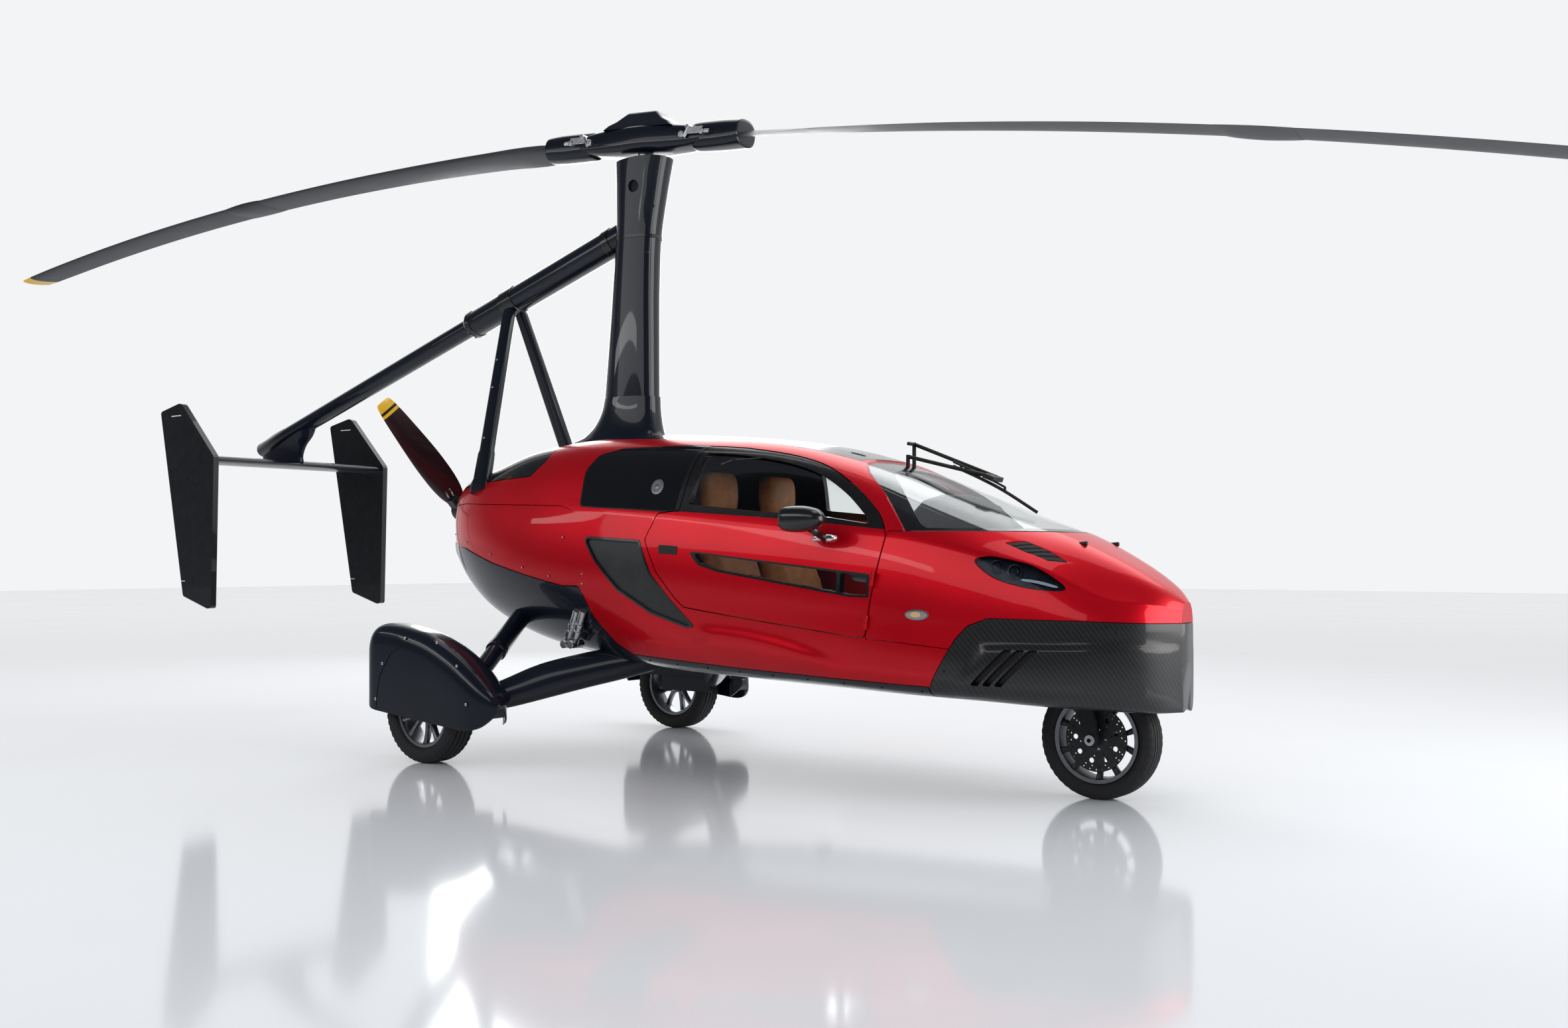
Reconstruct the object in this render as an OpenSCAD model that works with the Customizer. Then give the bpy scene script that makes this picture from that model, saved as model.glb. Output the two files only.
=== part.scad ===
// Two-seat flying car with a rotor on a mast, standing on its three wheels ready for take-off.
// Millimetres, +X forward, +Y left, +Z up.
// Shapes are laid out from the ground under the middle of the rear axle, and place() moves
// them so that the origin is on the ground under the middle of the whole machine.

/* [Body] */
// Widest part of the body
body_width = 1180; // [1140:5:1220]
// Thickness of the cabin walls and doors
wall = 30; // [24:1:36]
// Gap between fixed panels
seam = 3; // [2:0.5:5]
// Gap around each door
door_gap = 10; // [9:0.5:13]
// Depth of the window glass below the skin
glass_depth = 5; // [3:0.5:8]
// Thickness of the window glass
glass_t = 6; // [4:0.5:8]
// Depth of the intake floors below the skin
intake_depth = 14; // [8:1:20]
// Forward lean of the door hinge line in degrees
hinge_lean = 9.7; // [8:0.1:11]
// Radius of the hinge barrels
hinge_r = 9; // [7:0.5:10]
// Radius of the hinge pins
hinge_pin_r = 4; // [3:0.25:5]
// Height of each half of a hinge barrel
hinge_h = 28; // [20:1:36]

/* [Wheels] */
// Distance from the rear axle to the front axle
wheelbase = 2980; // [2965:1:2995]
// Distance between the rear wheels
track = 1790; // [1780:1:1800]
// Front tyre outside radius
front_r = 242; // [236:1:248]
// Front tyre width
front_w = 124; // [110:1:132]
// Rear tyre outside radius
rear_r = 250; // [244:1:256]
// Rear tyre width
rear_w = 150; // [136:1:156]
// Radius where the tyres sit on the rims
rim_r = 178; // [170:1:184]
// Width of the rims
rim_w = 104; // [92:1:108]
// Front axle radius
axle_r = 14; // [12:0.5:16]
// Radius of the hole through the front axle
axle_bore_r = 9; // [7:0.5:10]
// Rear stub axle radius
stub_r = 18; // [15:0.5:20]
// Steering caster angle in degrees
caster = 12; // [8:0.5:14]
// Radial play of turning fits
play = 0.05; // [0.02:0.01:0.1]

/* [Rotor] */
// Rotor diameter
rotor_d = 10750; // [10400:10:11000]
// Blade chord
blade_chord = 215; // [190:1:235]
// Blade thickness
blade_t = 26; // [20:1:32]
// Blade droop at the tips
blade_droop = 580; // [500:5:640]
// Radius of the blade fold
fold_r = 3020; // [2900:10:3150]
// Direction of the parked blades in degrees
blade_turn = 3.8; // [0:0.1:6]
// Forward tilt of the rotor shaft in degrees
rotor_tilt = 4.6; // [3:0.1:6]
// Rotor shaft radius
shaft_r = 38; // [32:1:44]

/* [Tail] */
// Propeller diameter
prop_d = 1548; // [1500:2:1580]
// Direction of the parked propeller in degrees
prop_turn = 45; // [35:1:55]
// Radius of the front boom tube
boom_r = 70; // [64:1:74]
// Radius of the rear boom tube
boom_rear_r = 47; // [42:1:50]
// Half distance between the fins
fin_y = 600; // [580:2:620]
// Fin thickness
fin_t = 34; // [26:1:40]

/* [Hidden] */
$fn = 48;
hub_x = 558;
hub_z = 3050;
origin_x = hub_x - blade_droop * sin(rotor_tilt);
wide = body_width / 1180;
hinge_x = 2224;
hinge_z = 670;
hinge_y = -(body_width / 2 - 22);
prop_x = -800;
prop_z = 1227;
fit = 0.3;
mast_fit = 1.8;
hinge_gap = 5;
leaf_gap = 1;
leaf_t = hinge_gap * cos(hinge_lean) - leaf_gap - fit;
hub_half = 34;
root_r = 561;
cuff_r = 64;
fold_gap = 8;
drawn_wheelbase = 2980;
stretch_x = 600;
front_x = lx(2345);
column_r = 19;
column_l = 200;
hand_wheel_r = 165;

// Body stations from the tail to the nose.
// Columns: x, underside, sill half width and height, mid half width and height,
// belt half width and height, roof edge half width and height, top.
STATIONS = [
    [-640, 945, 165, 965, 190, 1110, 180, 1235, 125, 1310, 1330],
    [-440, 795, 240, 825, 345, 1045, 335, 1240, 235, 1370, 1396],
    [-200, 665, 300, 700, 440, 970, 420, 1240, 295, 1408, 1442],
    [150, 560, 345, 592, 515, 900, 480, 1230, 350, 1474, 1520],
    [600, 500, 420, 530, 565, 850, 530, 1200, 390, 1485, 1560],
    [1100, 470, 470, 480, 590, 830, 560, 1160, 410, 1460, 1535],
    [1600, 452, 490, 460, 590, 790, 560, 1110, 405, 1420, 1480],
    [2000, 436, 490, 445, 575, 760, 540, 1075, 380, 1330, 1385],
    [2350, 422, 480, 430, 545, 730, 500, 1050, 330, 1215, 1258],
    [2650, 410, 450, 420, 500, 700, 450, 985, 280, 1110, 1150],
    [2900, 398, 400, 408, 440, 690, 385, 920, 220, 1030, 1058],
    [3120, 388, 300, 398, 340, 680, 302, 808, 160, 925, 945],
    [3260, 382, 190, 392, 215, 680, 190, 783, 100, 845, 856],
    [3335, 380, 60, 395, 60, 680, 50, 760, 30, 785, 790]];
// The cabin and nose, ahead of stretch_x, lengthen with the wheelbase.
function lx(x) = x <= stretch_x ? x
    : stretch_x + (x - stretch_x) * (wheelbase - stretch_x) / (drawn_wheelbase - stretch_x);
function stretched(p) = [for (q = p) concat(lx(q[0]), [for (i = [1:len(q) - 1]) q[i]])];
BODY = stretched(STATIONS);
tail_x = BODY[0][0];
nose_x = BODY[len(BODY) - 1][0];

// Side view outlines, as [x, z] corners.
function hinge_at(z) = lx(hinge_x) + (z - hinge_z) * tan(hinge_lean);
DOOR = concat([[hinge_at(640) - hinge_gap, 640]], stretched([[1893, 677], [1533, 718], [1296, 748],
    [1250, 785], [1145, 900], [1066, 1042], [1126, 1156], [1245, 1166], [1275, 1405], [1292, 1455],
    [1550, 1431], [1760, 1394], [1936, 1339], [2094, 1249], [2216, 1151],
    [2262, 1095]]), [[hinge_at(1050) - hinge_gap, 1050]]);
WINDOW = stretched([[1290, 1195], [1312, 1424], [1550, 1400], [1750, 1364], [1915, 1311], [2062, 1227],
    [2170, 1138], [2208, 1096], [2000, 1128], [1665, 1158]]);
LOW_WINDOW = stretched([[1400, 975], [2200, 885], [2200, 818], [2120, 828], [1490, 915]]);
QUARTER = stretched([[620, 1205], [612, 1368], [662, 1437], [788, 1464], [1173, 1463], [1236, 1456],
    [1226, 1410], [1202, 1172]]);
INTAKE = stretched([[661, 1062], [1034, 1040], [1112, 891], [1222, 775], [1352, 662], [1303, 655],
    [1092, 714], [896, 814], [753, 949]]);
COVER = stretched([[-900, 1218], [-349, 1237], [480, 1205], [594, 1176], [590, 1041], [648, 850], [630, 832],
    [510, 832], [237, 882], [-38, 938], [-322, 1012], [-900, 1084]]);
DECK = [[-900, 1270], [-252, 1343], [201, 1359], [280, 1431], [290, 1640], [-900, 1640]];
BELLY = stretched([[-900, 1081], [-322, 1009], [-38, 935], [237, 879], [510, 829], [640, 826], [668, 780],
    [716, 689], [829, 569], [923, 513], [960, 300], [-900, 300]]);
FLOOR = stretched([[963, 300], [926, 513], [1562, 480], [2044, 461], [2480, 446], [2450, 300]]);
CHIN = stretched([[2453, 300], [2484, 443], [2605, 643], [2651, 695], [2734, 727], [3086, 719], [3277, 710],
    [3400, 706], [3400, 300]]);
NOSE = concat([[hinge_at(1066) + hinge_gap, 1066]], stretched([[3000, 1060], [3400, 1056], [3400, 709],
    [3277, 713], [3086, 722], [2734, 730], [2649, 698], [2603, 646], [2580, 608], [2297, 634]]),
    [[hinge_at(636) + hinge_gap, 636]]);
SCREEN = stretched([[2355, 1069], [3000, 1063], [3000, 1700], [1993, 1700], [1993, 1386], [2017, 1366],
    [2203, 1234], [2340, 1090]]);
LAMP = stretched([[2669, 950], [2711, 963], [2884, 925], [2985, 862], [2985, 838], [2850, 849], [2724, 886]]);
CHIN_SLOT = stretched([[2755, 482], [2771, 478], [2867, 612], [2839, 616]]);
// Plan view of the front wheel's opening, as [x, half width] in tyre radii from the middle of the wheel.
WELL = [[-0.89, 0.7], [0.62, 0.7], [0.89, 0.37]];
// Plan views of a bonnet vent and of one of the slots between its slats, as [x, y] corners.
VENT = stretched([[2741, -373], [2806, -321], [2910, -302], [2980, -292], [2916, -344], [2829, -366]]);
VENT_SLOT = [[2741, -392], [2758, -392], [2878, -296], [2861, -296]];
VENT_STEP = [34, 6];
// Plan view of one louvre in the rear deck, as [x, y] corners.
LOUVRE = [[0, 62], [46, 62], [70, 232], [30, 232]];
// Plan view of the dark roof panel, as [x, half width] corners.
ROOF = stretched([[293, 250], [700, 300], [1300, 322], [1700, 300], [1990, 238]]);
// Mast sections: height, middle x, chord, width.
MAST = [[1562, 452, 330, 200], [1680, 455, 310, 196], [2300, 488, 252, 190], [2550, 505, 240, 190],
    [2930, 545, 312, 226]];
// Blade sections along each half of a blade: part of its length, chord factor, twist in degrees,
// thickness factor.
INNER = [[0, 0.6, 14, 4], [0.04, 0.72, 12, 3.4], [0.1, 0.9, 10, 1.5], [0.18, 1, 9, 1], [0.47, 1, 6, 1],
    [0.75, 1, 4, 1], [1, 1, 3, 1]];
OUTER = [[0, 1, 3, 1], [0.29, 1, 2, 1], [0.58, 1, 1, 1], [0.86, 0.98, 0, 1], [1, 0.86, 0, 1]];
// Propeller blade sections: part of the radius, chord, pitch in degrees.
PROP = [[0.09, 80, 48], [0.27, 140, 38], [0.55, 146, 26], [0.87, 112, 20], [1, 76, 18]];

function cr(a, b, c, d, t) = 0.5 * (2 * b + (c - a) * t + (2 * a - 5 * b + 4 * c - d) * t * t
    + (3 * b - a - 3 * c + d) * t * t * t);
// One side of a cross section, moved in from the skin by w.
function half(r, w, n) = let (k = [[-(r[2] * wide - w), r[3] + w], [0, r[1] + w], [r[2] * wide - w, r[3] + w],
    [r[4] * wide - w, r[5]], [r[6] * wide - w, r[7] - w / 3], [r[8] * wide - w / 2, r[9] - w * 0.8],
    [0, r[10] - w], [-(r[8] * wide - w / 2), r[9] - w * 0.8]], c = crease(r[0]))
    [for (s = [1:5]) let (a = s == 4 ? k[3] + (2 * k[4] - k[5] - k[3]) * c : k[s - 1],
    d = s == 3 ? k[5] + (2 * k[4] - k[3] - k[5]) * c : k[s + 2])
    for (i = [0:n - 1]) cr(a, k[s], k[s + 1], d, i / n), k[6]];
// The belt line turns into a crease along the nose.
function crease(x) = max(0, min(1, (x - lx(2900)) / (lx(3100) - lx(2900))));
function ring(r, w, n) = let (h = half(r, w, n), m = len(h))
    concat([for (p = h) [r[0], p[0], p[1]]], [for (i = [m - 2:-1:1]) [r[0], -h[i][0], h[i][1]]]);
function rows(m) = let (t = BODY, l = len(t)) [for (s = [0:l - 2]) for (i = [0:m - 1])
    cr(t[max(0, s - 1)], t[s], t[s + 1], t[min(l - 1, s + 2)], i / m), t[l - 1]];
// Rings in each bay and points in each span, on the skin and on the inside of the walls
SKIN_STEPS = [2, 3];
INSIDE_STEPS = [1, 2];
function droop(r) = blade_droop * pow(2 * r / rotor_d, 2);

module place() translate([-origin_x, 0, 0]) children();
module both() {
    children();
    mirror([0, 1, 0]) children();
}
// The whole body as convex bays between cross sections, moved in by w.
module body(w, inside = false) {
    steps = inside ? INSIDE_STEPS : SKIN_STEPS;
    r = [for (s = rows(steps[0])) ring(s, w, steps[1])];
    n = len(r[0]);
    for (j = [0:len(r) - 2]) hull() polyhedron(concat(r[j], r[j + 1]),
        concat([[for (i = [0:n - 1]) i]], [[for (i = [n - 1:-1:0]) n + i]],
        [for (i = [0:n - 1]) [i, n + i, n + (i + 1) % n, (i + 1) % n]]));
}
module core(w) intersection() {
    body(w, w > wall * 0.7);
    translate([tail_x + w, -1000, 0]) cube([nose_x - tail_x - 2 * w, 2000, 2000]);
}
module shell(a, b) difference() {
    body(a);
    core(b);
}
// Side view outlines pushed through the right half, or right across.
module right_of(y = 0) rotate([90, 0, 0]) translate([0, 0, y]) linear_extrude(1200) children();
module across() rotate([90, 0, 0]) translate([0, 0, -1200]) linear_extrude(2400) children();
module roof_plan(grow) translate([0, 0, 1000]) linear_extrude(900)
    offset(delta = grow) polygon(both_sides(ROOF));
function both_sides(p) = concat(p, [for (i = [len(p) - 1:-1:0]) [p[i][0], -p[i][1]]]);
module rod(a, b, r, n = 48) {
    v = b - a;
    l = norm(v);
    translate(a) rotate([0, acos(v[2] / l), atan2(v[1], v[0])]) cylinder(r = r, h = l, $fn = n);
}
module oval(c, w, n = 24) scale([c, w]) circle(d = 1, $fn = n);

module nose() color("crimson") place() difference() {
    intersection() {
        shell(0, wall);
        across() polygon(NOSE);
    }
    both() right_of() offset(delta = fit) polygon(LAMP);
    both() linear_extrude(1200) intersection() {
        polygon(VENT);
        for (i = [0:5]) translate(i * VENT_STEP) polygon(stretched(VENT_SLOT));
    }
}
module chin() color("#202226") place() difference() {
    intersection() {
        shell(0, wall);
        across() polygon(CHIN);
    }
    // Opening that the front wheel turns in
    translate([wheelbase, 0, 0]) linear_extrude(480) scale(front_r) polygon(both_sides(WELL));
    both() right_of() for (i = [0:2]) translate([i * (lx(2800) - lx(2755)), 0]) polygon(CHIN_SLOT);
}
module windshield() color("#8fb4c4") place() intersection() {
    shell(glass_depth, glass_depth + glass_t);
    across() offset(delta = -fit) polygon(SCREEN);
}
module side_right() color("crimson") place() difference() {
    intersection() {
        shell(0, wall);
        right_of() difference() {
            translate([-900, 300]) square([4300, 1400]);
            offset(delta = door_gap) polygon(DOOR);
            offset(delta = fit) polygon(QUARTER);
            offset(delta = fit) polygon(INTAKE);
            for (p = [COVER, DECK, BELLY, FLOOR, CHIN, NOSE]) offset(delta = seam) polygon(p);
            polygon(SCREEN);
        }
    }
    roof_plan(seam);
    shaft_hole();
}
module side_left() left_part() side_right();
module left_part() translate([-origin_x, 0, 0]) mirror([0, 1, 0]) translate([origin_x, 0, 0]) children();
module roof() color("#1a1b20") place() intersection() {
    shell(0, wall);
    roof_plan(0);
}
module quarter_glass() color("#15171c") place() both() intersection() {
    shell(glass_depth, glass_depth + glass_t);
    right_of() polygon(QUARTER);
}
module intakes() color("#1c1d21") place() both() intersection() {
    shell(intake_depth, wall);
    right_of() polygon(INTAKE);
}
// Each cover has a lip behind the skin that closes the gap around it
module engine_covers() color("crimson") place() both() difference() {
    intersection() {
        shell(0, wall);
        right_of(seam / 2) offset(delta = seam - fit) polygon(COVER);
    }
    difference() {
        right_of() difference() {
            offset(delta = 2 * seam) polygon(COVER);
            polygon(COVER);
        }
        body(wall / 2, true);
    }
    shaft_hole();
}
module rear_deck() color("#1a1b20") place() difference() {
    intersection() {
        shell(0, wall);
        across() polygon(DECK);
    }
    roof_plan(seam);
    shaft_hole();
    both() for (i = [0:5]) translate([i * 112 - 560, 0, 1200]) linear_extrude(500) polygon(LOUVRE);
}
// Opening in the tail that the propeller shaft comes out of
module shaft_hole() translate([tail_x - 10, 0, prop_z]) rotate([0, 90, 0])
    cylinder(r = 66, h = wall + 20, $fn = 24);
module engine_belly() color("#16181f") place() intersection() {
    shell(0, wall);
    across() polygon(BELLY);
}
module floor() color("#16181f") place() {
    intersection() {
        shell(0, wall);
        across() polygon(FLOOR);
    }
    // Jack pads
    for (y = [-1, 1]) translate([lx(1400), y * 330, 425]) cylinder(r = 40, h = 50);
}
// Rear bulkhead with the two rails that the engine stands on
module bulkhead() color("#2a2c31") place() intersection() {
    core(wall + fit);
    union() {
        translate([690, -1000, 0]) cube([30, 2000, 2000]);
        for (y = [-1, 1]) translate([-250, y * 190 - 30, 0]) cube([950, 60, 800]);
    }
}
// Front bulkhead and the cross beam that carries the steering head
module front_frame() color("#2a2c31") place() difference() {
    intersection() {
        core(wall + fit);
        union() {
            translate([front_x, -1000, 0]) cube([20, 2000, 2000]);
            translate([wheelbase - 190, -1000, 640]) cube([150, 2000, 60]);
            for (y = [-1, 1]) translate([front_x, y * 300 - 20, 640])
                cube([wheelbase - front_x - 100, 40, 60]);
        }
    }
    steer_frame() cylinder(r = 44 + fit, h = 900);
}
module steer_frame() translate([wheelbase, 0, front_r]) rotate([0, -caster, 0]) children();
module dash() color("#24262b") place() difference() {
    intersection() {
        core(wall + door_gap);
        across() translate([front_x, 0]) polygon([[-fit, 1040], [-95, 1060], [-245, 1040],
            [-285, 960], [-205, 870], [-fit, 840]]);
    }
    wheel_frame() cylinder(r = column_r + fit, h = column_l + 5);
}
module wheel_frame() translate([front_x - 395, 240, 1000]) rotate([0, 110, 0]) children();
module steering_wheel() color("#1b1c1f") place() wheel_frame() {
    rotate_extrude() translate([hand_wheel_r, 0]) circle(13);
    translate([0, 0, -12]) cylinder(r = 50, h = 30);
    for (a = [0, 90, 180]) rotate([0, 0, a]) translate([40, -16, -6]) cube([hand_wheel_r - 45, 32, 12]);
    cylinder(r = column_r, h = column_l);
}
module seats() color("#a5642f") place() for (y = [-1, 1]) {
    intersection() {
        core(wall + fit);
        translate([seat_x + 1080, y * 235 - 170, 0]) cube([480, 340, 560]);
    }
    translate([seat_x, 0, 0]) seat(y);
}
seat_x = lx(1350) - 1350;
module seat(y) {
    hull() for (x = [1100, 1590]) for (s = [-1, 1]) translate([x, y * 235 + s * 170, 555])
        cylinder(r = 30, h = x > 1500 ? 130 : 90, $fn = 10);
    hull() for (s = [-1, 1]) {
        translate([1090, y * 235 + s * 165, 600]) cylinder(r = 40, h = 40, $fn = 10);
        translate([960, y * 235 + s * 150, 1110]) cylinder(r = 35, h = 40, $fn = 10);
    }
    hull() for (s = [-1, 1]) for (z = [1175, 1325]) translate([960, y * 225 + s * 75, z])
        sphere(r = 45, $fn = 10);
    translate([945, y * 225 - 50, 1120]) cube([24, 100, 80]);
}
module engine() color("#3a3c40") place() {
    translate([-250, -230, 800]) cube([800, 460, 420]);
    translate([-420, -150, 1010]) cube([171, 300, 330]);
    translate([prop_x - 30, 0, prop_z]) rotate([0, 90, 0]) cylinder(r = 26, h = 600);
}

module mast_cut(s) translate([s[1], 0, s[0]]) linear_extrude(1) oval(s[2], s[3]);
module mast_body(first = 1) for (i = [first:len(MAST) - 2]) hull() {
    mast_cut(MAST[i]);
    mast_cut(MAST[i + 1]);
}
module mast() color("#12151c") place() {
    mast_body();
    translate([MAST[0][1], 0, MAST[0][0]]) linear_extrude(MAST[1][0] - MAST[0][0] + 1)
        oval(MAST[1][2], MAST[1][3]);
    rotor_frame() translate([0, 0, -130]) cylinder(r = shaft_r, h = 240);
}
// Skirt that flares from the mast to the roof: height, middle x, length, width
SKIRT = [[1478, 395, 660, 380], [1534, 385, 584, 336], [1575, 412, 470, 280], [1620, 436, 400, 240],
    [1676, 455, 348, 222]];
module mast_fairing() color("#12151c") place() difference() {
    for (i = [0:len(SKIRT) - 2]) hull() for (s = [SKIRT[i], SKIRT[i + 1]]) mast_cut(s);
    body(0);
    translate([MAST[0][1], 0, MAST[0][0]]) linear_extrude(200)
        oval(MAST[1][2] + 2 * mast_fit, MAST[1][3] + 2 * mast_fit);
}
boom_a = [346, 0, 2560];
boom_b = [-2664, 0, 1635];
function boom_at(x) = boom_a + (boom_b - boom_a) * (x - boom_a[0]) / (boom_b[0] - boom_a[0]);
module boom_front() color("#12151c") place() difference() {
    rod(boom_at(480), boom_at(-737), boom_r);
    mast_body(2);
}
module boom_rear() color("#12151c") place() {
    rod(boom_at(-737), boom_b, boom_rear_r);
    hull() {
        translate([-2640, -20, 1560]) cube([330, 40, 1]);
        rod(boom_at(-2420), boom_b, 24);
    }
}
module struts() color("#12151c") place() both() difference() {
    rod([-372, -30, 2310], [-240, -373, 1292], 34, 20);
    rod(boom_at(0), boom_at(-737), (boom_r + fit) / cos(180 / 24), 24);
    body(0);
    translate([-600, -0.5, 1000]) cube([600, 400, 1500]);
}
module stabiliser() color("#12151c") place() rotate([90, 0, 0]) translate([0, 0, -fin_y + fin_t / 2])
    linear_extrude(2 * fin_y - fin_t) polygon([[-2245, 1532], [-2262, 1550], [-2310, 1560], [-2640, 1560],
    [-2660, 1545], [-2500, 1520], [-2300, 1510], [-2256, 1516]]);
module fins() color("#14161b") place() both() translate([0, -fin_y + fin_t / 2, 0]) rotate([90, 0, 0])
    linear_extrude(fin_t) polygon([[-2223, 1548], [-2252, 690], [-2262, 674], [-2290, 668], [-2520, 730],
    [-2540, 748], [-2775, 1822], [-2766, 1842], [-2585, 1880], [-2545, 1872]]);

bar_t = 22;
tyre_clear = 8;
bar_y = -(track / 2 - rear_w / 2 - tyre_clear);
bar_z = 300;
arm_in = [790, -330, 500];
arm_out = [330, bar_y + bar_t, bar_z];
// Trailing arms, from sections along the arm: x, y, z, half length, half height
ARM = [[820, -300, 500, 84, 64], [735, -400, 478, 96, 72], [610, -520, 428, 94, 70], [490, -640, 365, 84, 60],
    [arm_out[0] + 10, arm_out[1] + 0.5, arm_out[2] - 38, 66, 40]];
module arm_cut(s) translate([s[0], s[1], s[2]]) rotate([90, 0, 0]) linear_extrude(1)
    oval(2 * s[3], 2 * s[4], 20);
module arms() color("#12151c") place() both() {
    difference() {
        for (i = [0:len(ARM) - 2]) hull() for (s = [ARM[i], ARM[i + 1]]) arm_cut(s);
        body(0);
    }
    translate([-34, bar_y, bar_z - 80]) cube([400, bar_t, 80]);
}
module axles() color("#6d7076") place() both() {
    translate([0, bar_y - fit, rear_r]) rotate([90, 0, 0]) {
        cylinder(r = 40, h = track / 2 + bar_y - hub_half - 12);
        cylinder(r = stub_r, h = track / 2 + bar_y + hub_half + 6);
    }
}
// Pods over the rear wheels, open below and on the inner side under the arm. Each is what its side,
// plan and front views have in common, as [x, z], [x, y] and [y, z] corners from the middle of the wheel.
pod_w = 12;
pod_half = 104;
pod_in = -(track / 2 - pod_half);
POD_SIDE = [[-345, 340], [-345, 500], [-339, 575], [-322, 622], [-285, 644], [-220, 648], [-109, 637],
    [59, 601], [222, 532], [346, 453], [433, 374], [474, 325], [489, 294], [478, 258], [450, 222],
    [405, 192], [341, 178], [-240, 232], [-305, 255], [-336, 290]];
POD_PLAN = [[-345, -60], [-336, -88], [-310, -100], [-200, -pod_half], [270, -pod_half], [370, -93],
    [440, -66], [480, -32], [489, 0], [480, 32], [440, 66], [370, 93], [270, pod_half], [-345, pod_half]];
POD_FRONT = [[-pod_half, 0], [-pod_half, 540], [-98, 588], [-84, 622], [-58, 641], [-20, 650], [20, 650],
    [58, 641], [84, 622], [98, 588], [pod_half, 540], [pod_half, 0]];
module pod(w) intersection() {
    right_of() offset(delta = -w)
        polygon([for (p = POD_SIDE) [p[0], w > 0 && p[1] < 400 ? p[1] - 150 : p[1]]]);
    translate([0, -track / 2, 0]) linear_extrude(800) offset(delta = -w) polygon(POD_PLAN);
    translate([-400, -track / 2, 0]) rotate([90, 0, 90]) linear_extrude(1000)
        offset(delta = -w) polygon(POD_FRONT);
}
module wheel_covers() color("#12151c") place() both() difference() {
    pod(0);
    pod(pod_w);
    translate([-400, bar_y - 18, 0]) cube([1100, 60, bar_z + fit]);
}
// Drag struts from the belly to the pods
strut_r = 46;
module dampers() color("#3c4048") place() both() {
    difference() {
        rod([70, -360, 690], [238, bar_y - 10, 440], strut_r, 24);
        body(0);
        translate([0, -track - 200, 0]) cube([600, track + 200 + pod_in + fit, 800]);
    }
}
module steering_head() color("#55585e") place() steer_frame() difference() {
    translate([0, 0, 400]) cylinder(r = 44, h = 110);
    translate([0, 0, 390]) cylinder(r = 24 + play, h = 130);
}
module fork() color("#17191d") place() steer_frame() difference() {
    union() {
        for (s = [-1, 1]) translate([0, s * 88 + 11, 0]) rotate([90, 0, 0]) linear_extrude(22) union() {
            circle(r = 30);
            polygon([[-29, 0], [29, 0], [36, 300], [-36, 300]]);
        }
        translate([-55, -99, 288]) cube([110, 198, 34]);
        translate([0, 0, 300]) cylinder(r = 24, h = 220);
        rotate([90, 0, 0]) cylinder(r = axle_r, h = 232, center = true);
    }
    rotate([90, 0, 0]) cylinder(r = axle_bore_r, h = 400, center = true);
}
module headlamps() color("#9aa3ad") place() both() intersection() {
    shell(4, wall);
    right_of() polygon(LAMP);
}
module wiper() color("#0c0d0f") place() difference() {
    union() {
        for (y = [40, 90]) {
            rod([lx(2054), y, 1345], [lx(2054), y, 1462], 11, 8);
            rod([lx(2054), y, 1456], [lx(2440), y - 60, 1310], 9, 8);
        }
        translate([lx(2430), -40, 1284]) cube([30, 90, 36]);
        rod([lx(2250), 0, 1345], [lx(2690), 0, 1170], 12, 8);
    }
    body(glass_depth - fit);
}

module hinge_frame(z) translate([hinge_at(z), hinge_y, z]) rotate([0, hinge_lean, 0]) children();
HINGES = [675, 850];
module hinge_pins() color("#2b2d31") place() both() for (z = HINGES) hinge_frame(z) {
    cylinder(r = hinge_r, h = hinge_h);
    cylinder(r = hinge_pin_r, h = 2 * hinge_h + 1);
    translate([leaf_gap, 0, 0]) cube([leaf_t, 34, hinge_h]);
}
module hinge_right() color("#2b2d31") place() for (z = HINGES) hinge_frame(z) difference() {
    translate([0, 0, hinge_h + 1]) union() {
        cylinder(r = hinge_r, h = hinge_h);
        translate([-leaf_gap - leaf_t, 0, 0]) cube([leaf_t, 34, hinge_h]);
    }
    cylinder(r = hinge_pin_r + play, h = 3 * hinge_h);
}
module hinge_left() left_part() hinge_right();
module door_right() color("crimson") place() difference() {
    intersection() {
        shell(0, wall);
        right_of() difference() {
            polygon(DOOR);
            offset(delta = fit) polygon(WINDOW);
            offset(delta = fit) polygon(LOW_WINDOW);
        }
    }
    roof_plan(door_gap);
}
module door_left() left_part() door_right();
module door_glass_right() color("#7f99a5") place() intersection() {
    shell(glass_depth, glass_depth + glass_t);
    right_of() union() {
        polygon(WINDOW);
        polygon(LOW_WINDOW);
    }
}
module door_glass_left() left_part() door_glass_right();
module mirror_right() color("#101114") place() difference() {
    translate([lx(2015) - 2015, 0, 0]) union() {
        hull() for (x = [1945, 2085]) for (z = [1095, 1140]) translate([x, -690, z]) scale([0.8, 1.9, 1])
            sphere(r = 34, $fn = 12);
        rod([2040, -650, 1075], [2015, -530, 1035], 16, 10);
        translate([2010, -545, 1030]) scale([1.8, 1, 0.9]) sphere(r = 26, $fn = 10);
    }
    body(0);
}
module mirror_left() left_part() mirror_right();

spoke_splay = 15;
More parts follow.
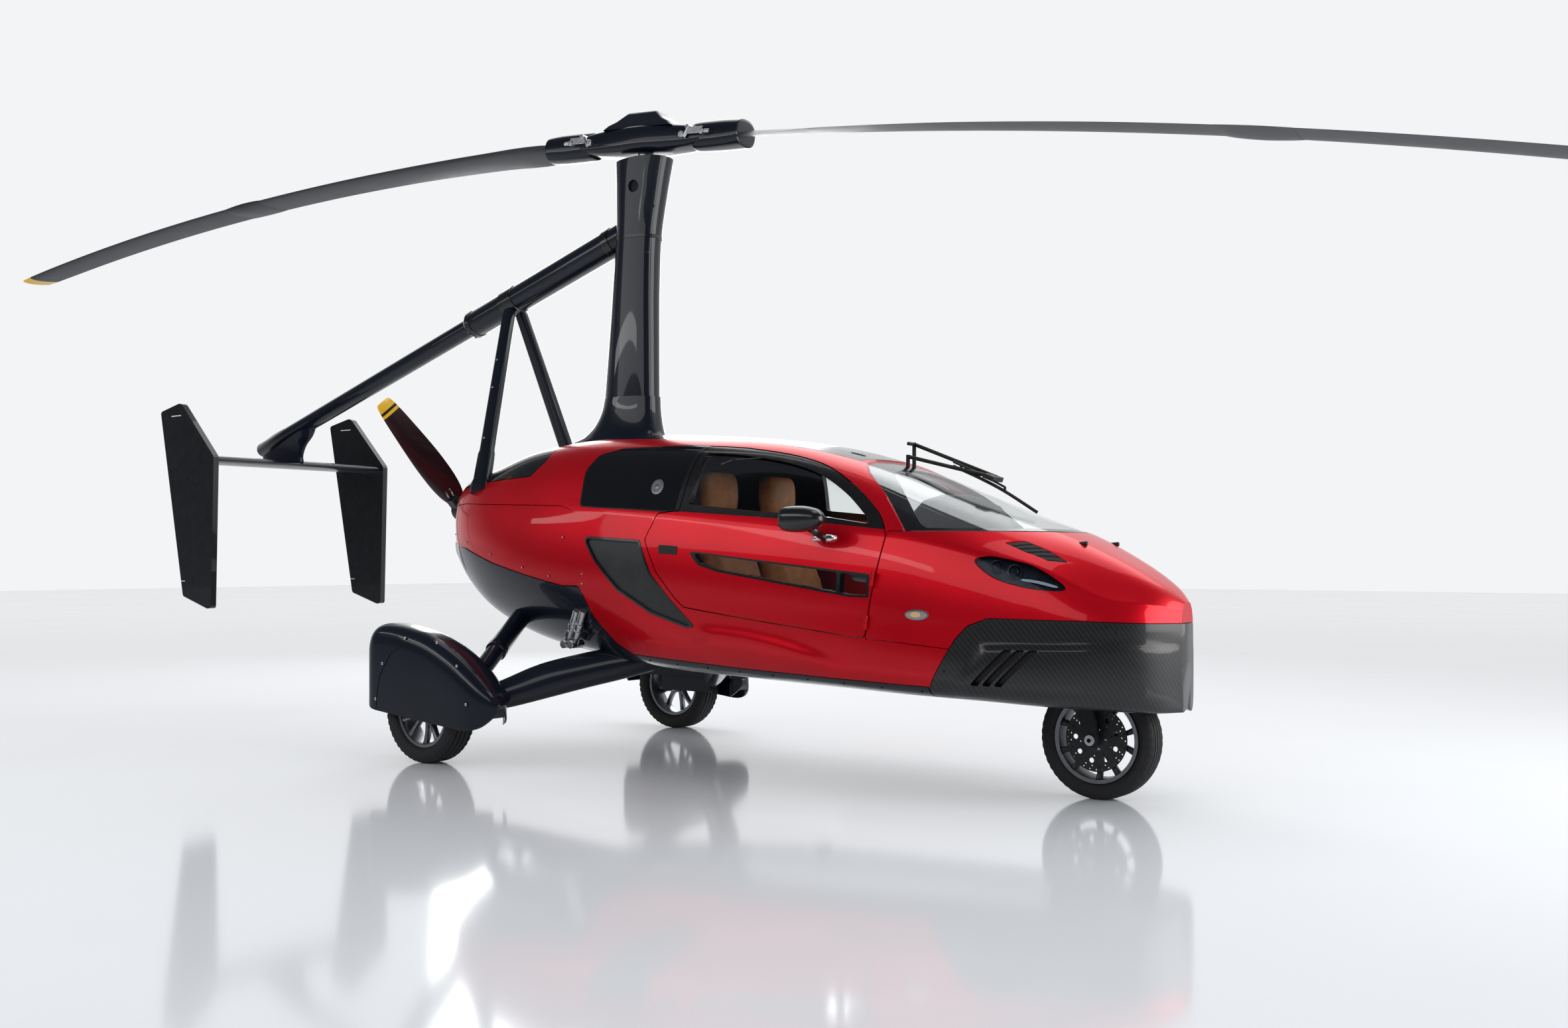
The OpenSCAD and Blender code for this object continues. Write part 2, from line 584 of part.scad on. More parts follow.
// A tyre about +Y
module tyre(r, w) rotate([90, 0, 0]) rotate_extrude() difference() {
    union() {
        for (s = [-1, 1]) translate([r - w * 0.27, s * w * 0.23]) circle(r = w * 0.27);
        translate([r - w * 0.27, -w * 0.23]) square([w * 0.27, w * 0.46]);
        translate([rim_r, -w / 2]) square([r - w * 0.27 - rim_r, w]);
    }
    translate([0, -w]) square([rim_r, 2 * w]);
}
module rim(bore, spokes, spoke_w) difference() {
    union() {
        rotate([90, 0, 0]) rotate_extrude() {
            translate([rim_r - 18, -rim_w / 2]) square([18 - play, rim_w]);
            translate([0, -hub_half]) square([46, 2 * hub_half]);
        }
        for (i = [0:spokes - 1]) for (s = [-1, 1]) rotate([0, i * 360 / spokes + s * spoke_splay, 0])
            translate([38, -17, -spoke_w / 2]) cube([rim_r - 48, 34, spoke_w]);
    }
    rotate([90, 0, 0]) cylinder(r = bore + play, h = 200, center = true);
}
module at_front() place() translate([wheelbase, 0, front_r]) children();
module at_rear(s) place() translate([0, s * track / 2, rear_r]) children();
module tyre_front() color("#141414") at_front() tyre(front_r, front_w);
module rim_front() color("#3a3c40") at_front() {
    rim(axle_r, 5, 17);
    // Brake disc
    translate([0, -43, 0]) rotate([90, 0, 0]) difference() {
        cylinder(r = 128, h = 6);
        translate([0, 0, -1]) cylinder(r = 66, h = 8);
    }
    translate([0, -33.9, 0]) rotate([90, 0, 0]) difference() {
        cylinder(r = 70, h = 11);
        translate([0, 0, -1]) cylinder(r = axle_r + play, h = 14);
    }
}
module tyre_right() color("#141414") at_rear(-1) tyre(rear_r, rear_w);
module rim_right() color("#7d8086") at_rear(-1) rim(stub_r, 5, 17);
module tyre_left() color("#141414") at_rear(1) tyre(rear_r, rear_w);
module rim_left() color("#7d8086") at_rear(1) rim(stub_r, 5, 17);

module rotor_frame() translate([hub_x, 0, hub_z]) rotate([0, rotor_tilt, 0]) children();
// Half of the rotor head's fairing: side view as [x, z] and plan view as [x, half width] corners
HEAD_SIDE = [[0, 52], [150, 46], [300, 32], [420, 14], [root_r - 109, -8], [root_r - 109, -40],
    [420, -56], [300, -78], [150, -88], [0, -90]];
HEAD_PLAN = [[0, 106], [150, 96], [300, 78], [420, 62], [root_r - 109, 34]];
function ends(p) = concat(p, [for (i = [len(p) - 1:-1:0]) if (p[i][0] > 0) [-p[i][0], p[i][1]]]);
module rotor_head() color("#1a1c22") place() rotor_frame() rotate([0, 0, blade_turn]) difference() {
    union() {
        intersection() {
            rotate([90, 0, 0]) linear_extrude(400, center = true) polygon(ends(HEAD_SIDE));
            linear_extrude(400, center = true) polygon(ends(both_sides(HEAD_PLAN)));
        }
        // Raised cap over the teeter hinge
        hull() {
            translate([0, 0, 34]) linear_extrude(1) square([430, 184], center = true);
            translate([0, 0, 104]) linear_extrude(1) square([204, 112], center = true);
            translate([0, 0, 117]) linear_extrude(1) square([168, 84], center = true);
        }
        for (s = [0, 180]) rotate([0, 0, s]) translate([330, 0, -20]) rotate([0, 90, 0])
            cylinder(r = cuff_r, h = root_r - 331);
    }
    translate([0, 0, -200]) cylinder(r = shaft_r + play, h = 310 + play);
}
// Blade sections run from a blunt leading edge to a thin trailing edge
module blade_cut(r, s) translate([r, 0, -20 - droop(r)]) rotate([0, 90, 0]) linear_extrude(1) rotate(s[2])
    scale([blade_t * s[3], blade_chord * s[1]]) polygon([[0, 0.36], [0.36, 0.28], [0.5, 0.1],
    [0.3, -0.3], [0.04, -0.64], [-0.04, -0.64], [-0.3, -0.3], [-0.5, 0.1], [-0.36, 0.28]]);
module blade(t, a, b) for (i = [0:len(t) - 2])
    hull() for (s = [t[i], t[i + 1]]) blade_cut(a + (b - a) * s[0], s);
module blades_inner() color("#33363b") place() rotor_frame() for (a = [0, 180]) rotate([0, 0, blade_turn + a])
    blade(INNER, root_r, fold_r - fold_gap);
module blades_outer() color("#33363b") place() rotor_frame() for (a = [0, 180])
rotate([0, 0, blade_turn + a]) {
    blade(OUTER, fold_r + fold_gap, rotor_d / 2 - 1);
    // Fold knuckle between the two halves
    translate([fold_r - fold_gap + 1 + fit, -60, -38 - droop(fold_r)]) cube([80, 110, 36]);
}
module prop_frame() translate([prop_x, 0, prop_z]) rotate([prop_turn, 0, 0]) children();
module prop_hub() color("#5c6066") place() prop_frame() difference() {
    union() {
        rotate([0, 90, 0]) cylinder(r = 58, h = 70, center = true);
        translate([-24, -36, -110]) cube([48, 72, 220]);
    }
    translate([-31, 0, 0]) rotate([0, 90, 0]) cylinder(r = 26 + play, h = 200);
}
module prop_cut(s) translate([0, 0, s[0] * prop_d / 2 - 1]) linear_extrude(1)
    rotate(90 - s[2]) scale([s[1], 16])
    polygon([[-0.5, 0], [-0.3, 0.45], [0.1, 0.4], [0.5, 0], [0.1, -0.35], [-0.3, -0.35]]);
module prop_blades() color("#1c1416") place() prop_frame() difference() {
    for (a = [0, 180]) rotate([a, 0, 0]) for (i = [0:len(PROP) - 2]) hull() {
        prop_cut(PROP[i]);
        prop_cut(PROP[i + 1]);
    }
    rotate([0, 90, 0]) cylinder(r = 58, h = 70, center = true);
    translate([-24, -36, -110]) cube([48, 72, 220]);
}

nose();
chin();
windshield();
side_right();
side_left();
roof();
quarter_glass();
intakes();
engine_covers();
rear_deck();
engine_belly();
floor();
bulkhead();
front_frame();
dash();
seats();
steering_wheel();
engine();
mast();
mast_fairing();
boom_front();
boom_rear();
struts();
stabiliser();
fins();
arms();
axles();
dampers();
wheel_covers();
steering_head();
headlamps();
wiper();
hinge_pins();
fork();
tyre_front();
rim_front();
tyre_right();
rim_right();
tyre_left();
rim_left();
rotor_head();
blades_inner();
blades_outer();
prop_hub();
prop_blades();
door_right();
door_glass_right();
hinge_right();
mirror_right();
door_left();
door_glass_left();
hinge_left();
mirror_left();
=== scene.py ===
"""Looks for the three-wheeled flying car: smooth panels, glass, cabin, running gear, rotor and tail."""

import bmesh
import bpy
import math
import numpy as np
from mathutils import Matrix, Vector
from mathutils.kdtree import KDTree


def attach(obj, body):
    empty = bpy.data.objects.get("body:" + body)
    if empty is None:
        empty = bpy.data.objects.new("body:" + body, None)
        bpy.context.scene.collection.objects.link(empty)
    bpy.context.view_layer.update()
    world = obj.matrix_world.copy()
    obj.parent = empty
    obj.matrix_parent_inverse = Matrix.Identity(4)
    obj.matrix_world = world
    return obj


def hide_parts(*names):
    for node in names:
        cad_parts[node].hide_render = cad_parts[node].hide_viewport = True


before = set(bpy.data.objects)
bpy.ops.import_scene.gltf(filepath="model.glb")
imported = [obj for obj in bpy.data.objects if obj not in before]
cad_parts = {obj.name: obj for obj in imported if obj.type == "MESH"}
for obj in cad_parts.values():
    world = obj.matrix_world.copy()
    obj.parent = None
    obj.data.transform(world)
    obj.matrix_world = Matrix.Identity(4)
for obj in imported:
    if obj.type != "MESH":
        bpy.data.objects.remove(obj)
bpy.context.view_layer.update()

# Shapes are laid out from the ground under the rear axle's middle, and piece() moves them to the row frame.
TILT = math.radians(4.6)
OX = 0.558 - 0.58 * math.sin(TILT)
WHEELBASE = 2.98
FRONT_R = 0.242
REAR_R = 0.250
REAR_Y = 0.895
RIM_R = 0.178
HUB = Vector((0.558, 0, 3.05))
TURN = math.radians(3.8)
CASTER = math.radians(12)
LEAN = math.radians(9.7)


def V(x, y, z):
    """A point from millimetres."""
    return Vector((x, y, z)) / 1000


# Materials
def shader(name):
    m = bpy.data.materials.new(name)
    m.use_nodes = True
    tree = m.node_tree
    return m, tree, tree.nodes["Principled BSDF"]


def node(tree, kind, **values):
    n = tree.nodes.new(kind)
    for key, value in values.items():
        if key in n.inputs:
            n.inputs[key].default_value = value
        else:
            setattr(n, key, value)
    return n


def coords(tree, scale=(1, 1, 1)):
    c = node(tree, "ShaderNodeTexCoord")
    m = node(tree, "ShaderNodeMapping")
    m.inputs["Scale"].default_value = scale
    tree.links.new(c.outputs["Object"], m.inputs["Vector"])
    return m.outputs["Vector"]


def put(n, **values):
    """Sets inputs of a node; an underscore stands for a space."""
    for key, value in values.items():
        n.inputs[key.replace("_", " ")].default_value = value


def two_colours(tree, value, low, high, at=(0.0, 1.0)):
    """Blends from one colour to the other as the value goes between two places."""
    n = node(tree, "ShaderNodeValToRGB")
    for stop, place, colour in zip(n.color_ramp.elements, at, (low, high)):
        stop.position = place
        stop.color = (*colour, 1)
    tree.links.new(value, n.inputs["Fac"])
    return n.outputs["Color"]


def spread(tree, value, low, high):
    """Maps a value from 0 to 1 onto another range."""
    n = node(tree, "ShaderNodeMapRange")
    put(n, To_Min=low, To_Max=high)
    tree.links.new(value, n.inputs["Value"])
    return n.outputs["Result"]


def raise_bumps(tree, p, height, strength, distance):
    b = node(tree, "ShaderNodeBump", Strength=strength, Distance=distance)
    tree.links.new(height, b.inputs["Height"])
    tree.links.new(b.outputs["Normal"], p.inputs["Normal"])


def surface(name, colour, rough=0.4, metal=0.0, coat=0.0, coat_rough=0.05, vary=0.12, grain=40.0,
            rough_vary=0.08, bump=0.0, bump_scale=300.0, spec=0.5, dark=None):
    """A Principled surface whose colour and roughness drift a little, with an optional fine bump."""
    m, tree, p = shader(name)
    vec = coords(tree)
    noise = node(tree, "ShaderNodeTexNoise", Scale=grain, Detail=5.0, Roughness=0.6)
    tree.links.new(vec, noise.inputs["Vector"])
    low = dark if dark else [c * (1 - vary) for c in colour]
    high = [min(1, c * (1 + vary)) for c in colour]
    drift = noise.outputs["Fac"]
    tree.links.new(two_colours(tree, drift, low, high, (0.3, 0.7)), p.inputs["Base Color"])
    ends = max(0.02, rough - rough_vary), min(1, rough + rough_vary)
    tree.links.new(spread(tree, drift, *ends), p.inputs["Roughness"])
    put(p, Metallic=metal, Specular_IOR_Level=spec, Coat_Weight=coat, Coat_Roughness=coat_rough)
    if bump:
        fine = node(tree, "ShaderNodeTexNoise", Scale=bump_scale, Detail=3.0)
        tree.links.new(vec, fine.inputs["Vector"])
        raise_bumps(tree, p, fine.outputs["Fac"], bump, 0.001)
    return m


def flake_paint(name, colour, deep, metal=0.55, rough=0.28, coat=1.0, spec=0.5):
    """Candy paint: fine metal flakes under a clear coat."""
    m, tree, p = shader(name)
    vec = coords(tree)
    cells = node(tree, "ShaderNodeTexVoronoi", Scale=1400.0)
    tree.links.new(vec, cells.inputs["Vector"])
    cloud = node(tree, "ShaderNodeTexNoise", Scale=3.0, Detail=2.0)
    tree.links.new(vec, cloud.inputs["Vector"])
    mix = two_colours(tree, cloud.outputs["Fac"], deep, colour, (0.2, 0.75))
    tree.links.new(mix, p.inputs["Base Color"])
    raise_bumps(tree, p, cells.outputs["Distance"], 0.06, 0.0004)
    put(p, Metallic=metal, Roughness=rough, Specular_IOR_Level=spec, Coat_Weight=coat, Coat_Roughness=0.03)
    return m


def carbon(name):
    """Lacquered twill: tows two over, two under, along the length and the height, with the tows that lie over
    painted lighter as painted sheen.
    """
    m, tree, p = shader(name)
    c = node(tree, "ShaderNodeTexCoord")
    s = node(tree, "ShaderNodeSeparateXYZ")
    tree.links.new(c.outputs["Object"], s.inputs["Vector"])

    def math_node(op, a, b=None):
        n = node(tree, "ShaderNodeMath")
        n.operation = op
        for i, v in enumerate((a, b)):
            if v is None:
                continue
            if isinstance(v, (int, float)):
                n.inputs[i].default_value = v
            else:
                tree.links.new(v, n.inputs[i])
        return n.outputs[0]

    along = math_node("SUBTRACT", s.outputs["X"], math_node("ABSOLUTE", s.outputs["Y"]))
    i = math_node("FLOOR", math_node("MULTIPLY", along, 150.0))
    j = math_node("FLOOR", math_node("MULTIPLY", s.outputs["Z"], 150.0))
    step = math_node("FLOORED_MODULO", math_node("ADD", i, j), 4.0)
    over = math_node("LESS_THAN", step, 2.0)
    # Painted sheen: the tows that lie over get a lighter colour than the others, standing in for the
    # different reflections of tows that cross; the bump gives the weave its relief.
    painted_tow_sheen = two_colours(tree, over, (0.004, 0.004, 0.0045), (0.013, 0.0135, 0.015))
    tree.links.new(painted_tow_sheen, p.inputs["Base Color"])
    raise_bumps(tree, p, over, 0.12, 0.0004)
    put(p, Roughness=0.38, Specular_IOR_Level=0.3, Coat_Weight=0.42, Coat_Roughness=0.06)
    return m


def glass(name, colour, clear, rough=0.02, tint=0.0, metal=1.0):
    """Thin window glass: a light film over what is behind it."""
    m, tree, p = shader(name)
    out = tree.nodes["Material Output"]
    see = node(tree, "ShaderNodeBsdfTransparent")
    see.inputs["Color"].default_value = (*clear, 1)
    vec = coords(tree)
    haze = node(tree, "ShaderNodeTexNoise", Scale=6.0, Detail=3.0)
    tree.links.new(vec, haze.inputs["Vector"])
    tree.links.new(spread(tree, haze.outputs["Fac"], rough, rough + 0.03), p.inputs["Roughness"])
    put(p, Base_Color=(*colour, 1), Metallic=metal)
    fres = node(tree, "ShaderNodeFresnel", IOR=1.45)
    blend = node(tree, "ShaderNodeMixShader")
    tree.links.new(spread(tree, fres.outputs["Fac"], tint, 0.25), blend.inputs["Fac"])
    tree.links.new(see.outputs["BSDF"], blend.inputs[1])
    tree.links.new(p.outputs["BSDF"], blend.inputs[2])
    tree.links.new(blend.outputs["Shader"], out.inputs["Surface"])
    return m


RED = flake_paint("candy_red", (0.56, 0.001, 0.010), (0.48, 0.001, 0.008), metal=0.55, rough=0.33,
                  coat=0.33, spec=0.12)
NAVY = flake_paint("navy_black", (0.0045, 0.0070, 0.0140), (0.003, 0.005, 0.010), metal=0.0, rough=0.3,
                   coat=0.5, spec=0.15)
CARBON = carbon("carbon_twill")
GLOSS_BLACK = surface("gloss_black", (0.006, 0.006, 0.007), 0.25, coat=0.5, coat_rough=0.03, vary=0.2,
                      grain=25, spec=0.3)
SATIN_BLACK = surface("satin_black", (0.012, 0.012, 0.013), 0.5, vary=0.2, grain=60, bump=0.15,
                      bump_scale=900, spec=0.3)
BLADE = surface("blade_grey", (0.022, 0.023, 0.027), 0.4, vary=0.2, grain=8, rough_vary=0.08, bump=0.06,
                bump_scale=500, spec=0.4)
RUBBER = surface("tyre_rubber", (0.014, 0.014, 0.015), 0.7, vary=0.25, grain=120, bump=0.3, bump_scale=1500,
                 spec=0.35)
ALLOY = surface("grey_alloy", (0.22, 0.23, 0.25), 0.32, metal=0.9, vary=0.1, grain=80, bump=0.05,
                bump_scale=800)
DARK_ALLOY = surface("dark_alloy", (0.022, 0.023, 0.026), 0.38, metal=0.3, vary=0.15, grain=80, spec=0.4)
STEEL = surface("bare_steel", (0.55, 0.56, 0.58), 0.25, metal=1.0, vary=0.08, grain=150)
CHROME = surface("bright_metal", (0.8, 0.8, 0.82), 0.1, metal=1.0, vary=0.03, grain=20, rough_vary=0.03)
LEATHER = surface("tan_leather", (0.60, 0.25, 0.085), 0.48, vary=0.16, grain=18, bump=0.5, bump_scale=420,
                  dark=(0.46, 0.18, 0.06))
TRIM = surface("cabin_trim", (0.035, 0.035, 0.038), 0.6, vary=0.2, grain=50, bump=0.3, bump_scale=700)
PROP = flake_paint("prop_lacquer", (0.03, 0.008, 0.01), (0.01, 0.005, 0.006), metal=0.1, rough=0.3,
                   coat=0.5, spec=0.3)
YELLOW = surface("tip_yellow", (0.85, 0.5, 0.01), 0.35, coat=0.5, vary=0.06)
WHITE = surface("tip_white", (0.75, 0.75, 0.74), 0.4, vary=0.04)
DARK_GLASS = surface("privacy_glass", (0.003, 0.003, 0.004), 0.06, coat=0.6, coat_rough=0.01, vary=0.2,
                     grain=5, rough_vary=0.02, spec=0.4)
CLEAR_GLASS = glass("clear_glass", (0.92, 0.94, 0.95), (0.96, 0.97, 0.97), tint=0.01)
TINT_GLASS = glass("tint_glass", (0.85, 0.87, 0.9), (0.95, 0.96, 0.96), tint=0.0)
LAMP_GLASS = glass("lamp_glass", (0.9, 0.92, 0.94), (0.74, 0.78, 0.83), tint=0.0)
LAMP_BOWL = surface("lamp_bowl", (0.030, 0.035, 0.044), 0.28, metal=0.6, vary=0.25, grain=30)
LENS = surface("marker_lens", (0.42, 0.38, 0.35), 0.12, metal=0.4, coat=1.0, vary=0.2, grain=200)
AMBER = surface("marker_bulb", (0.62, 0.40, 0.20), 0.15, coat=1.0, vary=0.1, grain=300)
INTAKE_GREY = surface("intake_grey", (0.020, 0.021, 0.023), 0.42, vary=0.15, grain=14, spec=0.4)
DASH = surface("dash_grey", (0.075, 0.088, 0.10), 0.5, vary=0.12, grain=9, bump=0.1, bump_scale=600)


# Meshes
def circle(n, start=0.0):
    """Angles of n even steps round a circle."""
    return [2 * math.pi * k / n + start for k in range(n)]


def squared(v, power):
    """A power that keeps the sign, for ovals with fuller corners."""
    return math.copysign(abs(v) ** power, v)


def mesh(verts, faces, name="m"):
    me = bpy.data.meshes.new(name)
    me.from_pydata([tuple(v) for v in verts], [], [tuple(f) for f in faces])
    me.update()
    return me


def outward(me):
    bm = bmesh.new()
    bm.from_mesh(me)
    bmesh.ops.remove_doubles(bm, verts=bm.verts, dist=1e-6)
    bmesh.ops.recalc_face_normals(bm, faces=bm.faces)
    bm.to_mesh(me)
    bm.free()
    return me


def mirrored(me):
    """A copy on the other side of the middle plane."""
    m = me.copy()
    m.transform(Matrix.Scale(-1, 4, (0, 1, 0)))
    m.flip_normals()
    return m


def joined(*parts):
    """One mesh from several."""
    bm = bmesh.new()
    for me in parts:
        bm.from_mesh(me)
    me = bpy.data.meshes.new("joined")
    bm.to_mesh(me)
    bm.free()
    return me


def pair(me):
    """The mesh with its mirror image."""
    return joined(me, mirrored(me))


def piece(name, me, body, mat, nodes=(), angle=35, shade=True, bevel=0.0, subdiv=0):
    """Puts a mesh in the scene, in the row frame, riding on a body."""
    me.transform(Matrix.Translation((-OX, 0, 0)))
    me.name = name
    o = bpy.data.objects.new(name, me)
    bpy.context.collection.objects.link(o)
    for m in (mat if isinstance(mat, (list, tuple)) else [mat]):
        me.materials.append(m)
    if shade:
        me.shade_smooth()
        if angle:
            me.set_sharp_from_angle(angle=math.radians(angle))
    if subdiv:
        s = o.modifiers.new("subdivide", "SUBSURF")
        s.levels = subdiv
        s.render_levels = subdiv
    if bevel:
        b = o.modifiers.new("edges", "BEVEL")
        b.width = bevel
        b.segments = 3
        b.limit_method = "ANGLE"
        b.angle_limit = math.radians(40)
        b.harden_normals = True
    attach(o, body)
    if nodes:
        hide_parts(*([nodes] if isinstance(nodes, str) else nodes))
    return o


def boolean(a, b, op):
    """Mesh a with mesh b cut away, kept or added."""
    oa = bpy.data.objects.new("a", a)
    ob = bpy.data.objects.new("b", b)
    for o in (oa, ob):
        bpy.context.collection.objects.link(o)
    mod = oa.modifiers.new("cut", "BOOLEAN")
    mod.object = ob
    mod.operation = op
    mod.solver = "MANIFOLD"
    deps = bpy.context.evaluated_depsgraph_get()
    me = bpy.data.meshes.new_from_object(oa.evaluated_get(deps))
    me.materials.clear()
    bpy.data.objects.remove(oa)
    bpy.data.objects.remove(ob)
    return me


def keep(a, b):
    return boolean(a, b, "INTERSECT")


def cut(a, *others):
    for b in others:
        a = boolean(a, b, "DIFFERENCE")
    return a


def prism(poly, axis, lo, hi):
    """A side view (axis y) or plan view (axis z) outline pushed between two planes, in millimetres."""
    n = len(poly)
    pts = []
    for h in (lo, hi):
        for a, b in poly:
            pts.append(V(a, h, b) if axis == "y" else V(a, b, h))
    faces = [list(range(n)), [n + i for i in range(n)][::-1]]
    faces += [[i, (i + 1) % n, n + (i + 1) % n, n + i] for i in range(n)]
    me = mesh(pts, faces)
    bm = bmesh.new()
    bm.from_mesh(me)
    bmesh.ops.recalc_face_normals(bm, faces=bm.faces)
    bmesh.ops.triangulate(bm, faces=[f for f in bm.faces if len(f.verts) > 4])
    bm.to_mesh(me)
    bm.free()
    return me


def right_of(poly, y=0):
    return prism(poly, "y", -1300, -y)


def across(poly):
    return prism(poly, "y", -1300, 1300)


def catmull(a, b, c, d, t):
    """A point between b and c on a Catmull-Rom curve."""
    cubic = 3 * b - a - 3 * c + d
    return 0.5 * (2 * b + (c - a) * t + (2 * a - 5 * b + 4 * c - d) * t * t + cubic * t ** 3)


def spline(points, n=6, closed=False):
    """Catmull-Rom through the points."""
    p = [np.array(q, float) for q in points]
    out = []
    count = len(p)
    last = count if closed else count - 1
    for s in range(last):
        a = p[(s - 1) % count] if closed or s else p[0]
        b, c = p[s], p[(s + 1) % count]
        d = p[(s + 2) % count] if closed or s + 2 < count else p[-1]
        out += [catmull(a, b, c, d, i / n) for i in range(n)]
    if not closed:
        out.append(p[-1])
    return [tuple(q) for q in out]


def rounded(poly, r, n=5):
    """The outline with its corners rounded."""
    out = []
    k = len(poly)
    rs = r if isinstance(r, (list, tuple)) else [r] * k
    for i in range(k):
        p = np.array(poly[i], float)
        a = np.array(poly[i - 1], float) - p
        b = np.array(poly[(i + 1) % k], float) - p
        la, lb = np.linalg.norm(a), np.linalg.norm(b)
        a, b = a / la, b / lb
        half = 0.5 * math.acos(max(-1, min(1, float(a @ b))))
        if half > 1.5 or rs[i] < 0.5:
            out.append(tuple(p))
            continue
        reach = min(rs[i] / math.tan(half), 0.45 * la, 0.45 * lb)
        s, e = p + a * reach, p + b * reach
        for j in range(n + 1):
            t = j / n
            out.append(tuple((1 - t) ** 2 * s + 2 * t * (1 - t) * p + t * t * e))
    return out


def area(poly):
    return 0.5 * sum(poly[i - 1][0] * poly[i][1] - poly[i][0] * poly[i - 1][1] for i in range(len(poly)))


def grown(poly, d):
    """The outline moved out by d."""
    sign = 1 if area(poly) > 0 else -1
    k = len(poly)
    out = []
    for i in range(k):
        p = np.array(poly[i], float)
        a = p - np.array(poly[i - 1], float)
        b = np.array(poly[(i + 1) % k], float) - p
        na = np.array((a[1], -a[0])) / np.linalg.norm(a) * sign
        nb = np.array((b[1], -b[0])) / np.linalg.norm(b) * sign
        m = na + nb
        m = m / np.linalg.norm(m)
        out.append(tuple(p + m * d / max(0.4, float(m @ na))))
    return out


def loft(rings, cap=True):
    """A skin through rings with the same number of points."""
    n = len(rings[0])
    verts = [q for r in rings for q in r]
    faces = []
    for j in range(len(rings) - 1):
        for i in range(n):
            k = (i + 1) % n
            faces.append((j * n + i, j * n + k, (j + 1) * n + k, (j + 1) * n + i))
    if cap:
        faces.append(tuple(range(n))[::-1])
        faces.append(tuple((len(rings) - 1) * n + i for i in range(n)))
    return outward(mesh(verts, faces))


def tube(points, radius, sides=24, cap=True, smooth=8):
    """A round tube along points in metres. radius is a number or one per point."""
    pts = [Vector(p) for p in (spline(points, smooth) if smooth and len(points) > 2 else points)]
    count = len(pts)
    if isinstance(radius, (int, float)):
        rad = [radius] * count
    else:
        rad = list(np.interp(np.linspace(0, 1, count), np.linspace(0, 1, len(radius)), radius))
    rings = []
    ref = Vector((0, 0, 1))
    for i, p in enumerate(pts):
        t = (pts[min(i + 1, count - 1)] - pts[max(i - 1, 0)]).normalized()
        if abs(t.dot(ref)) > 0.95:
            ref = Vector((0, 1, 0)) if abs(t.y) < 0.9 else Vector((1, 0, 0))
        u = t.cross(ref).normalized()
        v = u.cross(t)
        ref = v
        rings.append([p + (u * math.cos(a) + v * math.sin(a)) * rad[i]
                      for a in circle(sides)])
    return loft(rings, cap)


def wheel_of(rings):
    """A skin through rings that go right round, back to the first."""
    n, count = len(rings[0]), len(rings)
    faces = []
    for j in range(count):
        m = (j + 1) % count
        for i in range(n):
            k = (i + 1) % n
            faces.append((j * n + i, j * n + k, m * n + k, m * n + i))
    return outward(mesh([q for r in rings for q in r], faces))


def revolve(profile, steps=64, axis="y", at=(0, 0, 0)):
    """A profile of (radius, along) pairs in metres, turned about an axis through a point."""
    rings = []
    for a in circle(steps):
        ring = []
        for r, h in profile:
            c, s = r * math.cos(a), r * math.sin(a)
            p = {"y": (c, h, s), "x": (h, c, s), "z": (c, s, h)}[axis]
            ring.append(Vector(p) + Vector(at))
        rings.append(ring)
    return wheel_of(rings)


def box(size, at=(0, 0, 0), turn=None):
    bm = bmesh.new()
    bmesh.ops.create_cube(bm, size=1)
    me = bpy.data.meshes.new("box")
    bm.to_mesh(me)
    bm.free()
    me.transform(Matrix.Diagonal((*size, 1)))
    if turn is not None:
        me.transform(turn)
    me.transform(Matrix.Translation(at))
    return me


# The body's skin, from the same stations as the solids
STATIONS = np.array([
    # x, underside, sill y, z, mid y, z, belt y, z, roof edge y, z, top
    [-640, 945, 165, 965, 190, 1110, 180, 1235, 125, 1310, 1330],
    [-440, 795, 240, 825, 345, 1045, 335, 1240, 235, 1370, 1396],
    [-200, 665, 300, 700, 440, 970, 420, 1240, 295, 1408, 1442],
    [150, 560, 345, 592, 515, 900, 480, 1230, 350, 1474, 1520],
    [600, 500, 420, 530, 565, 850, 530, 1200, 390, 1485, 1560],
    [1100, 470, 470, 480, 590, 830, 560, 1160, 410, 1460, 1535],
    [1600, 452, 490, 460, 590, 790, 560, 1110, 405, 1420, 1480],
    [2000, 436, 490, 445, 575, 760, 540, 1075, 380, 1330, 1385],
    [2350, 422, 480, 430, 545, 730, 500, 1050, 330, 1215, 1258],
    [2650, 410, 450, 420, 500, 700, 450, 985, 280, 1110, 1150],
    [2900, 398, 400, 408, 440, 690, 385, 920, 220, 1030, 1058],
    [3120, 388, 300, 398, 340, 680, 302, 808, 160, 925, 945],
    [3260, 382, 190, 392, 215, 680, 190, 783, 100, 845, 856],
    [3335, 380, 60, 395, 60, 680, 50, 760, 30, 785, 790]], float)
TAIL_X, NOSE_X = STATIONS[0, 0], STATIONS[-1, 0]
WALL = 30.0


def dense_rows(m=60):
    s, out = STATIONS, []
    last = len(s) - 1
    for k in range(last):
        for i in range(m):
            out.append(catmull(s[max(0, k - 1)], s[k], s[k + 1], s[min(last, k + 2)], i / m))
    out.append(s[last])
    return np.array(out)


ROWS = dense_rows()


def row_at(x):
    return [np.interp(x, ROWS[:, 0], ROWS[:, k]) for k in range(11)]


def ease(x, lo, hi):
    t = np.clip((x - lo) / (hi - lo), 0, 1)
    return t * t * (3 - 2 * t)


FOLD = np.array([(1330, 668), (1503, 660), (1652, 648), (1816, 620), (2054, 564), (2200, 522)], float)


